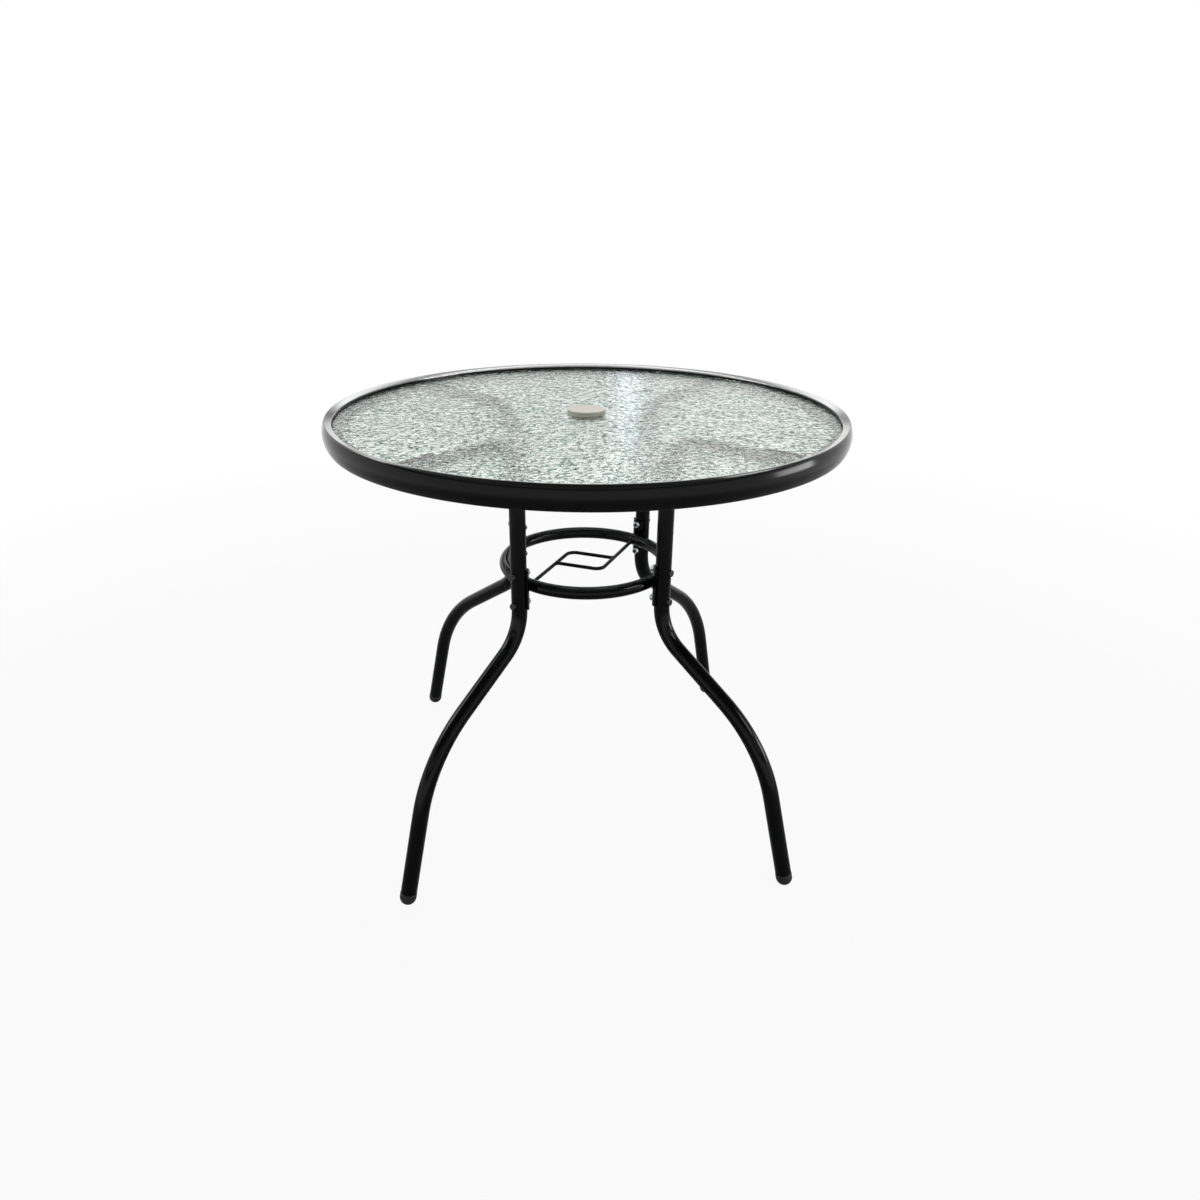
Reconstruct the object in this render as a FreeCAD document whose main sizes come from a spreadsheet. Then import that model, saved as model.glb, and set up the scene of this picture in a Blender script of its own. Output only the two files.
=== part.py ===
import FreeCAD, Part
import math
import os
import Sketcher

# Round garden table with a glass top and a hole for a parasol pole.
# +Z is up, and the origin is on the floor under the middle of the top.
# Four bent tube legs stand at 45, 135, 225 and 315 degrees. A leg and the
# pieces on it are drawn as if the leg pointed along +X, then turned into place.

# Every size that can be set by itself, in millimetres or degrees.
SIZES = (
    ("overall_height", 700, "floor to the top of the rim"),
    ("rim_radius", 400, "outside of the rim at the fullest part of its apron"),
    ("rim_depth", 35, "height of the rim's apron"),
    ("rim_sheet", 1.2, "steel strip that the rim is rolled from"),
    ("apron_bulge_radius", 34, "convex curve of the apron"),
    ("apron_bulge_drop", 16, "fullest part of the apron below the rim's top"),
    ("apron_return", 7, "bottom of the apron turned inward"),
    ("crease_radius", 1.6, "fold between the apron and the top band, the rim's highest line"),
    ("top_band_slope", 17, "slope of the top band, from the crease down to the lip"),
    ("lip_setback", 15, "inner edge of the top band, in from the fullest part"),
    ("ledge_width", 13, "ledge under the glass"),
    ("flange_depth", 20, "inner flange hanging from the ledge"),
    ("fold_ease", 0.7, "eased outer edge of the folds at the lip and the ledge"),
    ("glass_recess", 8, "glass surface below the rim's top"),
    ("glass_thickness", 5, "toughened glass"),
    ("glass_edge_gap", 0.6, "play between the glass and the lip"),
    ("glass_edge_ease", 0.9, "ground edge of the glass"),
    ("glass_hole_radius", 25, "hole for the grommet"),
    ("pad_radius", 4.5, "soft dots under the glass"),
    ("pad_thickness", 1.5, "soft dots under the glass"),
    ("pole_bore_radius", 19.5, "way through the grommet for a 38 mm pole"),
    ("grommet_flange_radius", 30, "grommet flange on the glass"),
    ("grommet_flange_height", 2.5, "grommet flange on the glass"),
    ("grommet_edge_ease", 0.8, "eased edge of the grommet flange"),
    ("grommet_sleeve_drop", 8, "grommet sleeve below the glass"),
    ("grommet_glass_gap", 0.4, "play between the sleeve and the glass"),
    ("plug_radius", 22, "recess in the grommet that the cap plugs into"),
    ("plug_depth", 4, "recess in the grommet that the cap plugs into"),
    ("cap_radius", 29.5, "cap over the grommet"),
    ("cap_height", 4.2, "cap above the grommet"),
    ("cap_wall", 2, "moulded wall of the cap"),
    ("cap_gap", 0.3, "play between the cap and the grommet"),
    ("cap_edge_round", 2, "rounded top edge of the cap"),
    ("leg_circle_radius", 159, "upright stretch of each leg from the middle"),
    ("leg_tube_diameter", 25, "leg tube"),
    ("leg_tube_wall", 1.2, "leg tube"),
    ("arm_drop", 2, "arm of the leg below the glass"),
    ("arm_end_gap", 7, "outer end of the arm, in from the rim's inner flange"),
    ("shoulder_radius", 60, "bend between the arm and the upright"),
    ("knee_height", 408.6, "where the upright starts to bend outward"),
    ("knee_radius", 80.3, "bend below the brace"),
    ("knee_angle", 56.1, "slope of the shin from the vertical"),
    ("shin_length", 109.1, "straight stretch below the knee"),
    ("ankle_radius", 238.4, "long bend back towards the vertical"),
    ("foot_angle", 15.4, "slope of the last stretch from the vertical"),
    ("foot_cap_radius", 12.9, "plastic foot"),
    ("foot_cap_rise", 7, "straight band of the foot above its round end"),
    ("foot_flat_depth", 0.8, "level flat that the foot stands on"),
    ("foot_stem_length", 20, "stem of the foot inside the tube"),
    ("end_plug_head", 1.8, "head of the plug in the arm's end"),
    ("end_plug_stem", 7, "stem of the plug in the arm's end"),
    ("stem_gap", 0.25, "play between a stem and the tube around it"),
    ("brace_height", 443.5, "middle of the brace ring above the floor"),
    ("brace_tube_diameter", 20, "brace ring"),
    ("brace_tube_wall", 1.2, "brace ring"),
    ("saddle_thickness", 3, "plates that cup the leg tube"),
    ("saddle_gap", 0.3, "play between a plate and the leg tube"),
    ("brace_saddle_wrap_angle", 160, "how far round a leg's upright its plate reaches"),
    ("rim_saddle_wrap_angle", 176, "how far round an arm its plate reaches"),
    ("brace_saddle_length", 65, "plate between the ring and a leg"),
    ("rim_saddle_length", 60, "plate between the rim and an arm"),
    ("saddle_corner", 4, "rounded corner of a plate"),
    ("seat_gap", 0.1, "paint and weld between seated pieces"),
    ("guide_rod_diameter", 6, "rods that guide the pole"),
    ("guide_long_offset", 39.5, "long stretch of a guide rod from the middle"),
    ("guide_short_offset", 27.6, "short stretch of a guide rod from the middle"),
    ("guide_corner_radius", 15, "bend in a guide rod"),
    ("guide_corner_angle", 87, "how far its corner turns"),
    ("guide_angle", 62, "direction of the first rod's long stretch"),
    ("bolt_radius", 2.95, "shank of the M6 bolts"),
    ("bolt_hole_radius", 3.3, "holes in tubes and plates"),
    ("thread_gap", 0.1, "play between a bolt and its nut or insert"),
    ("bolt_head_flats", 10, "hexagon heads and nuts, across the flats"),
    ("bolt_head_height", 4, "hexagon head"),
    ("nut_height", 5.2, "hexagon nut"),
    ("brace_bolt_spacing", 49.5, "between the two bolts through each leg"),
    ("brace_bolt_length", 36, "shank of a bolt through a leg"),
    ("rim_bolt_spacing", 25, "between the two bolts under each arm"),
    ("rim_bolt_setback", 14, "outer bolt from the arm's end"),
    ("rim_bolt_length", 15, "shank of a bolt under an arm"),
    ("insert_radius", 4.5, "threaded insert in the arm"),
    ("insert_length", 11, "threaded insert in the arm"),
)

LEG_ANGLES = {
    "rear_right": 45,
    "rear_left": 135,
    "front_left": 225,
    "front_right": 315,
}
FIRST_LEG_ANGLE = 45
PADS_UNDER_GLASS = 8
FULL_TURN = 360
QUARTER_TURN = 90
HEXAGON_HALF_CORNER = 30

# How near a size an edge has to be to count as the one looked for.
EDGE_TOLERANCE = 0.02

doc = FreeCAD.newDocument("UmbrellaTable")


class Size:
    """A size as a number, with the sheet formula that gives the same number."""

    def __init__(self, number, formula):
        self.number = number
        self.formula = formula

    def __add__(self, other):
        other = as_size(other)
        return Size(self.number + other.number, f"({self.formula} + {other.formula})")

    def __sub__(self, other):
        other = as_size(other)
        return Size(self.number - other.number, f"({self.formula} - {other.formula})")

    def __mul__(self, other):
        other = as_size(other)
        return Size(self.number * other.number, f"({self.formula} * {other.formula})")

    def __truediv__(self, other):
        other = as_size(other)
        return Size(self.number / other.number, f"({self.formula} / {other.formula})")

    def __neg__(self):
        return Size(-self.number, f"(0 - {self.formula})")


def as_size(value):
    return value if isinstance(value, Size) else Size(value, str(value))


def sine(angle):
    return Size(math.sin(math.radians(angle.number)), f"sin({angle.formula})")


def cosine(angle):
    return Size(math.cos(math.radians(angle.number)), f"cos({angle.formula})")


def tangent(angle):
    return Size(math.tan(math.radians(angle.number)), f"tan({angle.formula})")


def root(square):
    return Size(math.sqrt(square.number), f"sqrt({square.formula})")


def fill_sheet():
    """Write the sizes into the sheet and return them by name."""
    sheet = doc.addObject("Spreadsheet::Sheet", "Sizes")
    sizes = {}
    for row, (name, number, meaning) in enumerate(SIZES, start=1):
        sheet.set(f"A{row}", name)
        sheet.set(f"B{row}", str(number))
        sheet.set(f"C{row}", meaning)
        sheet.setAlias(f"B{row}", name)
        sizes[name] = Size(number, f"Sizes.{name}")
    doc.recompute()
    return sizes


size = fill_sheet()
ZERO = as_size(0)

# Heights and radii that several pieces share.
rim_top = size["overall_height"]
glass_top = rim_top - size["glass_recess"]
glass_bottom = glass_top - size["glass_thickness"]
ledge_top = glass_bottom - size["pad_thickness"]
lip_radius = size["rim_radius"] - size["lip_setback"]
flange_radius = lip_radius - size["ledge_width"]
arm_end_radius = flange_radius - size["arm_end_gap"]
leg_radius = size["leg_circle_radius"]
tube_radius = size["leg_tube_diameter"] / 2
tube_bore = tube_radius - size["leg_tube_wall"]
arm_height = glass_bottom - size["arm_drop"] - tube_radius
saddle_inside = tube_radius + size["saddle_gap"]
saddle_outside = saddle_inside + size["saddle_thickness"]
brace_tube_radius = size["brace_tube_diameter"] / 2
brace_ring_radius = leg_radius - saddle_outside - size["seat_gap"] - brace_tube_radius
brace_bolt_heights = (
    size["brace_height"] - size["brace_bolt_spacing"] / 2,
    size["brace_height"] + size["brace_bolt_spacing"] / 2,
)
rim_bolt_radii = (
    arm_end_radius - size["rim_bolt_setback"],
    arm_end_radius - size["rim_bolt_setback"] - size["rim_bolt_spacing"],
)
foot_centre_height = size["foot_cap_radius"] - size["foot_flat_depth"]


def leg_spine():
    """Corner points of a leg's centre line, from the arm's end to the foot's centre."""
    knee = size["knee_angle"]
    foot = size["foot_angle"]
    knee_centre = (leg_radius + size["knee_radius"], size["knee_height"])
    knee_end = (
        knee_centre[0] - size["knee_radius"] * cosine(knee),
        knee_centre[1] - size["knee_radius"] * sine(knee),
    )
    shin_end = (
        knee_end[0] + size["shin_length"] * sine(knee),
        knee_end[1] - size["shin_length"] * cosine(knee),
    )
    ankle_centre = (
        shin_end[0] - size["ankle_radius"] * cosine(knee),
        shin_end[1] - size["ankle_radius"] * sine(knee),
    )
    ankle_end = (
        ankle_centre[0] + size["ankle_radius"] * cosine(foot),
        ankle_centre[1] + size["ankle_radius"] * sine(foot),
    )
    foot_centre = (
        ankle_end[0] + (ankle_end[1] - foot_centre_height) * tangent(foot),
        foot_centre_height,
    )
    tube_end = (
        foot_centre[0] - size["foot_cap_rise"] * sine(foot),
        foot_centre[1] + size["foot_cap_rise"] * cosine(foot),
    )
    return {
        "arm_end": (arm_end_radius, arm_height),
        "shoulder_start": (leg_radius + size["shoulder_radius"], arm_height),
        "shoulder_centre": (
            leg_radius + size["shoulder_radius"],
            arm_height - size["shoulder_radius"],
        ),
        "shoulder_end": (leg_radius, arm_height - size["shoulder_radius"]),
        "knee_start": (leg_radius, size["knee_height"]),
        "knee_centre": knee_centre,
        "knee_end": knee_end,
        "shin_end": shin_end,
        "ankle_centre": ankle_centre,
        "ankle_end": ankle_end,
        "tube_end": tube_end,
        "foot_centre": foot_centre,
    }


spine = leg_spine()


def new_body(name, azimuth=ZERO):
    """A sub-part turned this far about the table's axis, from a number or a size."""
    turn = as_size(azimuth)
    body = doc.addObject("PartDesign::Body", name)
    body.Label = name
    body.Placement = FreeCAD.Placement(
        FreeCAD.Vector(0, 0, 0),
        FreeCAD.Rotation(FreeCAD.Vector(0, 0, 1), turn.number),
    )
    if isinstance(azimuth, Size) and azimuth is not ZERO:
        body.setExpression(
            "Placement",
            f"placement(vector(0; 0; 0); rotation(vector(0; 0; 1); {turn.formula}))",
        )
    return body


def origin_feature(body, role):
    return next(f for f in body.Origin.OriginFeatures if f.Role == role)


def new_sketch(body, name, plane, offset=ZERO):
    sketch = body.newObject("Sketcher::SketchObject", name)
    sketch.AttachmentSupport = [(origin_feature(body, plane), "")]
    sketch.MapMode = "FlatFace"
    sketch.AttachmentOffset = FreeCAD.Placement(
        FreeCAD.Vector(0, 0, offset.number), FreeCAD.Rotation()
    )
    if offset is not ZERO:
        sketch.setExpression("AttachmentOffset.Base.z", offset.formula)
    return sketch


def bind_constraint(sketch, kind, *place, to):
    index = sketch.addConstraint(Sketcher.Constraint(kind, *place, to.number))
    sketch.setExpression(f"Constraints[{index}]", to.formula)


def pin_point(sketch, shape, end, point):
    """Hold one end (1 start, 2 end, 3 centre) of a sketch line at its sizes."""
    across, up = point
    if across is ZERO:
        sketch.addConstraint(Sketcher.Constraint("PointOnObject", shape, end, -2))
    else:
        bind_constraint(sketch, "DistanceX", shape, end, to=across)
    if up is ZERO:
        sketch.addConstraint(Sketcher.Constraint("PointOnObject", shape, end, -1))
    else:
        bind_constraint(sketch, "DistanceY", shape, end, to=up)


def chord_height(radius, half_width):
    """How far from its centre a circle is this wide."""
    return root(radius * radius - half_width * half_width)


def vector(point):
    return FreeCAD.Vector(point[0].number, point[1].number, 0)


def draw_circle(sketch, centre, radius):
    circle = Part.Circle(vector(centre), FreeCAD.Vector(0, 0, 1), radius.number)
    shape = sketch.addGeometry(circle, False)
    pin_point(sketch, shape, 3, centre)
    bind_constraint(sketch, "Radius", shape, to=radius)


def draw_arc(sketch, start, centre, end, radius, counter_clockwise):
    """Add an arc and return its number with its own start and end marks."""
    first, last = (start, end) if counter_clockwise else (end, start)
    angles = [
        math.atan2(
            point[1].number - centre[1].number, point[0].number - centre[0].number
        )
        for point in (first, last)
    ]
    circle = Part.Circle(vector(centre), FreeCAD.Vector(0, 0, 1), radius.number)
    shape = sketch.addGeometry(Part.ArcOfCircle(circle, *angles), False)
    bind_constraint(sketch, "Radius", shape, to=radius)
    return (shape, 1, 2) if counter_clockwise else (shape, 2, 1)


def draw_chain(sketch, start, *steps, closed=True):
    """Draw lines and arcs from corner to corner.

    A step is the next corner, or (corner, centre, radius, counter_clockwise)
    where an arc leads to it. A closed chain's last step returns to its start.
    """
    pieces = []
    here = start
    for step in steps:
        if len(step) == 2:
            line = Part.LineSegment(vector(here), vector(step))
            shape = sketch.addGeometry(line, False)
            pieces.append((shape, 1, 2))
            here = step
        else:
            corner, centre, radius, counter_clockwise = step
            piece = draw_arc(sketch, here, centre, corner, radius, counter_clockwise)
            pieces.append(piece)
            here = corner
        pin_point(sketch, pieces[-1][0], pieces[-1][2], here)
    if not closed:
        pin_point(sketch, pieces[0][0], pieces[0][1], start)
    followers = pieces[1:] + pieces[:1] if closed else pieces[1:]
    for before, after in zip(pieces, followers):
        sketch.addConstraint(
            Sketcher.Constraint("Coincident", before[0], before[2], after[0], after[1])
        )


def draw_hexagon(sketch, centre, flats):
    """A bolt head's outline, with a corner pointing up."""
    across = flats / 2
    low = across * tangent(as_size(HEXAGON_HALF_CORNER))
    high = across / cosine(as_size(HEXAGON_HALF_CORNER))
    corners = (
        (centre[0] + across, centre[1] + low),
        (centre[0], centre[1] + high),
        (centre[0] - across, centre[1] + low),
        (centre[0] - across, centre[1] - low),
        (centre[0], centre[1] - high),
        (centre[0] + across, centre[1] - low),
    )
    draw_chain(sketch, corners[-1], *corners)


def revolve(body, sketch, axis="V_Axis"):
    turned = body.newObject("PartDesign::Revolution", "Turned")
    turned.Profile = sketch
    turned.ReferenceAxis = (sketch, [axis])
    turned.Angle = FULL_TURN
    return turned


def pad(body, sketch, length, reverse=False):
    raised = body.newObject("PartDesign::Pad", "Raised")
    raised.Profile = sketch
    raised.Length = length.number
    raised.setExpression("Length", length.formula)
    raised.Reversed = reverse
    return raised


def must_cut(body, feature, volume_before):
    """Stop if a cut took nothing away, which is what a wrong direction does."""
    least_cut = 1
    doc.recompute()
    if feature.Shape.Volume > volume_before - least_cut:
        raise RuntimeError(f"{body.Label}: {feature.Name} cuts nothing")
    return feature


def pocket(body, sketch, length, reverse=False):
    doc.recompute()
    volume_before = body.Shape.Volume
    cut = body.newObject("PartDesign::Pocket", "Cut")
    cut.Profile = sketch
    cut.Length = length.number
    cut.setExpression("Length", length.formula)
    cut.Reversed = reverse
    return must_cut(body, cut, volume_before)


def sweep(body, profile, path):
    pipe = body.newObject("PartDesign::AdditivePipe", "Pipe")
    pipe.Profile = profile
    pipe.Spine = (path, [])
    return pipe


def polar_pattern(body, features, count):
    """Repeat features round the table's middle."""
    pattern = body.newObject("PartDesign::PolarPattern", "RoundTheTable")
    pattern.Originals = features
    pattern.Axis = (origin_feature(body, "Z_Axis"), [""])
    pattern.Angle = FULL_TURN
    pattern.Occurrences = count
    body.Tip = pattern
    return pattern


def matching_edges(body, feature, keep):
    """Names of the feature's edges for which keep(edge) is true."""
    doc.recompute()
    names = [
        f"Edge{number}"
        for number, edge in enumerate(feature.Shape.Edges, start=1)
        if keep(edge)
    ]
    if not names:
        raise RuntimeError(f"{body.Label}: no edge to round or ease")
    return names


def round_edges(body, feature, radius, keep):
    names = matching_edges(body, feature, keep)
    fillet = body.newObject("PartDesign::Fillet", "Rounded")
    fillet.Base = (feature, names)
    fillet.Radius = radius.number
    fillet.setExpression("Radius", radius.formula)
    return fillet


def ease_edges(body, feature, width, keep):
    names = matching_edges(body, feature, keep)
    chamfer = body.newObject("PartDesign::Chamfer", "Eased")
    chamfer.Base = (feature, names)
    chamfer.Size = width.number
    chamfer.setExpression("Size", width.formula)
    return chamfer


def level_ring(radius, height):
    """A test for the full circle at this radius and height round the Z axis."""

    def test(edge):
        point = edge.Vertexes[0].Point
        level = edge.BoundBox.ZLength < EDGE_TOLERANCE
        near_radius = abs(math.hypot(point.x, point.y) - radius.number) < EDGE_TOLERANCE
        return level and near_radius and abs(point.z - height.number) < EDGE_TOLERANCE

    return test


def any_of(*tests):
    return lambda edge: any(test(edge) for test in tests)


# The rim is one strip, rolled into a hoop: an inner flange, the ledge under
# the glass, the lip round the glass edge, the top band that climbs outward to
# the crease, and a bulging apron that ends in a short return.
def apron_edge(bulge_radius, drop):
    """Radius of the apron's curve this far below the rim's top."""
    offset = drop - size["apron_bulge_drop"]
    centre = size["rim_radius"] - size["apron_bulge_radius"]
    return centre + chord_height(bulge_radius, offset)


def make_rim():
    sheet = size["rim_sheet"]
    slope = size["top_band_slope"]
    bottom = size["rim_depth"]
    outer_curve = size["apron_bulge_radius"]
    inner_curve = outer_curve - sheet
    outer_crease = size["crease_radius"]
    inner_crease = outer_crease - sheet
    bulge_centre = (size["rim_radius"] - outer_curve, rim_top - size["apron_bulge_drop"])
    # The crease's arc has the rim's highest point on it and runs smoothly into
    # the apron's curve on one side and the top band on the other.
    centre_distance = outer_curve - outer_crease
    centre_rise = size["apron_bulge_drop"] - outer_crease
    centre_run = chord_height(centre_distance, centre_rise)
    crease_centre = (bulge_centre[0] + centre_run, rim_top - outer_crease)

    def apron_start(curve):
        """Where the apron's curve of this radius meets the crease's arc."""
        share = curve / centre_distance
        return (bulge_centre[0] + centre_run * share, bulge_centre[1] + centre_rise * share)

    def band_start(crease):
        """Where the crease's arc of this radius meets the top band."""
        return (
            crease_centre[0] - crease * sine(slope),
            crease_centre[1] + crease * cosine(slope),
        )

    def band_at(start, radius):
        """The band's point at this radius, sloping down from its start."""
        return (radius, start[1] - (start[0] - radius) * tangent(slope))

    lip = band_at(band_start(outer_crease), lip_radius)
    inner_lip = band_at(band_start(inner_crease), lip_radius + sheet)
    apron_foot = (apron_edge(outer_curve, bottom), rim_top - bottom)
    inner_foot = (apron_edge(inner_curve, bottom - sheet), rim_top - bottom + sheet)
    return_end = apron_foot[0] - size["apron_return"]
    flange_foot = ledge_top - size["flange_depth"]

    body = new_body("rim_hoop")
    section = new_sketch(body, "StripSection", "XZ_Plane")
    draw_chain(
        section,
        (flange_radius, flange_foot),
        (flange_radius, ledge_top),
        (lip_radius, ledge_top),
        lip,
        band_start(outer_crease),
        (apron_start(outer_curve), crease_centre, outer_crease, False),
        (apron_foot, bulge_centre, outer_curve, False),
        (return_end, rim_top - bottom),
        (return_end, rim_top - bottom + sheet),
        inner_foot,
        (apron_start(inner_curve), bulge_centre, inner_curve, True),
        (band_start(inner_crease), crease_centre, inner_crease, True),
        inner_lip,
        (lip_radius + sheet, ledge_top - sheet),
        (flange_radius + sheet, ledge_top - sheet),
        (flange_radius + sheet, flange_foot),
        (flange_radius, flange_foot),
    )
    hoop = revolve(body, section)
    folded_edges = any_of(
        level_ring(flange_radius, ledge_top),
        level_ring(lip_radius, lip[1]),
    )
    ease_edges(body, hoop, size["fold_ease"], folded_edges)
    return body


def make_glass():
    radius = lip_radius - size["glass_edge_gap"]
    body = new_body("glass_top")
    disc = new_sketch(body, "Disc", "XY_Plane", glass_bottom)
    draw_circle(disc, (ZERO, ZERO), radius)
    draw_circle(disc, (ZERO, ZERO), size["glass_hole_radius"])
    plate = pad(body, disc, size["glass_thickness"])
    ground_edges = any_of(
        level_ring(radius, glass_top),
        level_ring(radius, glass_bottom),
    )
    ease_edges(body, plate, size["glass_edge_ease"], ground_edges)
    return body


def make_glass_pads():
    body = new_body("glass_pads", FULL_TURN / PADS_UNDER_GLASS / 2)
    middle = lip_radius - size["ledge_width"] / 2
    dot = new_sketch(body, "Dot", "XY_Plane", ledge_top)
    draw_circle(dot, (middle, ZERO), size["pad_radius"])
    first = pad(body, dot, size["pad_thickness"])
    polar_pattern(body, [first], PADS_UNDER_GLASS)
    return body


# The grommet drops through the hole in the glass and hangs by its flange.
def make_grommet():
    bore = size["pole_bore_radius"]
    flange_top = glass_top + size["grommet_flange_height"]
    recess = size["plug_radius"] + size["cap_gap"]
    recess_floor = flange_top - size["plug_depth"]
    sleeve = size["glass_hole_radius"] - size["grommet_glass_gap"]
    sleeve_foot = glass_bottom - size["grommet_sleeve_drop"]
    body = new_body("umbrella_grommet")
    section = new_sketch(body, "Section", "XZ_Plane")
    draw_chain(
        section,
        (bore, sleeve_foot),
        (sleeve, sleeve_foot),
        (sleeve, glass_top),
        (size["grommet_flange_radius"], glass_top),
        (size["grommet_flange_radius"], flange_top),
        (recess, flange_top),
        (recess, recess_floor),
        (bore, recess_floor),
        (bore, sleeve_foot),
    )
    turned = revolve(body, section)
    rim_edge = level_ring(size["grommet_flange_radius"], flange_top)
    ease_edges(body, turned, size["grommet_edge_ease"], rim_edge)
    return body


# The cap is a shallow moulding: a skirt that sits over the grommet's flange
# and a ring that plugs into its recess, joined by the top.
def make_cap():
    wall = size["cap_wall"]
    seat = glass_top + size["grommet_flange_height"] + size["cap_gap"]
    top = seat + size["cap_height"]
    ring_foot = seat - size["plug_depth"] + size["cap_gap"]
    ceiling = top - wall
    body = new_body("umbrella_cap")
    section = new_sketch(body, "Section", "XZ_Plane")
    draw_chain(
        section,
        (ZERO, top),
        (size["cap_radius"], top),
        (size["cap_radius"], seat),
        (size["cap_radius"] - wall, seat),
        (size["cap_radius"] - wall, ceiling),
        (size["plug_radius"], ceiling),
        (size["plug_radius"], ring_foot),
        (size["plug_radius"] - wall, ring_foot),
        (size["plug_radius"] - wall, ceiling),
        (ZERO, ceiling),
        (ZERO, top),
    )
    turned = revolve(body, section)
    top_edge = level_ring(size["cap_radius"], top)
    round_edges(body, turned, size["cap_edge_round"], top_edge)
    return body


# Each leg is one length of round tube: an arm under the glass, a shoulder
# bend, the upright, a tight knee, a straight shin and a long easy ankle.
def make_leg(place, azimuth):
    body = new_body(f"leg_{place}", azimuth)
    profile = new_sketch(body, "TubeSection", "YZ_Plane", arm_end_radius)
    draw_circle(profile, (ZERO, arm_height), tube_radius)
    draw_circle(profile, (ZERO, arm_height), tube_bore)
    path = new_sketch(body, "CentreLine", "XZ_Plane")
    draw_chain(
        path,
        spine["arm_end"],
        spine["shoulder_start"],
        (spine["shoulder_end"], spine["shoulder_centre"], size["shoulder_radius"], True),
        spine["knee_start"],
        (spine["knee_end"], spine["knee_centre"], size["knee_radius"], True),
        spine["shin_end"],
        (spine["ankle_end"], spine["ankle_centre"], size["ankle_radius"], False),
        spine["tube_end"],
        closed=False,
    )
    sweep(body, profile, path)

    outside = leg_radius + tube_radius + size["seat_gap"]
    across = new_sketch(body, "BraceBoltHoles", "YZ_Plane", outside)
    for height in brace_bolt_heights:
        draw_circle(across, (ZERO, height), size["bolt_hole_radius"])
    pocket(body, across, size["leg_tube_diameter"] + size["seat_gap"] * 2)

    under = arm_height - tube_radius - size["seat_gap"]
    below = new_sketch(body, "InsertHoles", "XY_Plane", under)
    for radius in rim_bolt_radii:
        draw_circle(below, (radius, ZERO), size["insert_radius"] + size["seat_gap"])
    pocket(body, below, tube_radius, reverse=True)
    return body


# A plastic foot plugs into each tube's lower end. The leg comes down at a
# slope, so the foot stands on a small flat cut level across its round end.
def make_foot_caps():
    slope = size["foot_angle"]
    centre = spine["foot_centre"]
    radius = size["foot_cap_radius"]
    rise = size["foot_cap_rise"]
    stem = tube_bore - size["stem_gap"]
    stem_top = rise + size["foot_stem_length"]

    def along(up, out):
        """A point this far up the leg's axis and out from it."""
        return (
            centre[0] - up * sine(slope) + out * cosine(slope),
            centre[1] + up * cosine(slope) + out * sine(slope),
        )

    body = new_body("foot_caps", FIRST_LEG_ANGLE)
    section = new_sketch(body, "Section", "XZ_Plane")
    draw_chain(
        section,
        along(-radius, ZERO),
        (along(ZERO, radius), centre, radius, True),
        along(rise, radius),
        along(rise, stem),
        along(stem_top, stem),
        along(stem_top, ZERO),
        along(-radius, ZERO),
    )
    axis = sketch_axis(section, along(-radius, ZERO), along(stem_top, ZERO))
    cap = revolve(body, section, axis)
    floor = new_sketch(body, "Floor", "XY_Plane")
    draw_circle(floor, (centre[0], ZERO), radius * 2)
    flat = pocket(body, floor, radius)
    polar_pattern(body, [cap, flat], len(LEG_ANGLES))
    return body


def sketch_axis(sketch, start, end):
    """Add a construction line to turn a section about, and return its name."""
    line = Part.LineSegment(vector(start), vector(end))
    shape = sketch.addGeometry(line, True)
    pin_point(sketch, shape, 1, start)
    pin_point(sketch, shape, 2, end)
    return "Axis0"


def make_end_plugs():
    end = arm_end_radius
    body = new_body("end_plugs", FIRST_LEG_ANGLE)
    head = new_sketch(body, "Head", "YZ_Plane", end)
    draw_circle(head, (ZERO, arm_height), tube_radius)
    head_pad = pad(body, head, size["end_plug_head"])
    stem = new_sketch(body, "Stem", "YZ_Plane", end)
    draw_circle(stem, (ZERO, arm_height), tube_bore - size["stem_gap"])
    stem_pad = pad(body, stem, size["end_plug_stem"], reverse=True)
    polar_pattern(body, [head_pad, stem_pad], len(LEG_ANGLES))
    return body


# A saddle plate is pressed to cup the tube over most of a half turn.
def draw_saddle(sketch, centre, facing, wrap_angle):
    """The plate's section round a tube centre, open away from facing degrees."""
    half = wrap_angle / 2
    first = as_size(facing) - half
    last = as_size(facing) + half

    def at(radius, angle):
        return (centre[0] + radius * cosine(angle), centre[1] + radius * sine(angle))

    draw_chain(
        sketch,
        at(saddle_outside, first),
        (at(saddle_outside, last), centre, saddle_outside, True),
        at(saddle_inside, last),
        (at(saddle_inside, first), centre, saddle_inside, False),
        at(saddle_outside, first),
    )


def make_brace_saddle(place, azimuth):
    length = size["brace_saddle_length"]
    body = new_body(f"brace_saddle_{place}", azimuth)
    foot = size["brace_height"] - length / 2
    section = new_sketch(body, "Section", "XY_Plane", foot)
    draw_saddle(section, (leg_radius, ZERO), 180, size["brace_saddle_wrap_angle"])
    plate = pad(body, section, length)
    round_edges(body, plate, size["saddle_corner"], saddle_corner_edge)
    holes = new_sketch(body, "BoltHoles", "YZ_Plane", leg_radius)
    for height in brace_bolt_heights:
        draw_circle(holes, (ZERO, height), size["bolt_hole_radius"])
    pocket(body, holes, saddle_outside + size["seat_gap"])
    return body


def saddle_corner_edge(edge):
    """The short edges through the plate's thickness at its four corners."""
    straight = len(edge.Vertexes) == 2
    off = abs(edge.Length - size["saddle_thickness"].number)
    return straight and off < EDGE_TOLERANCE


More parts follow.
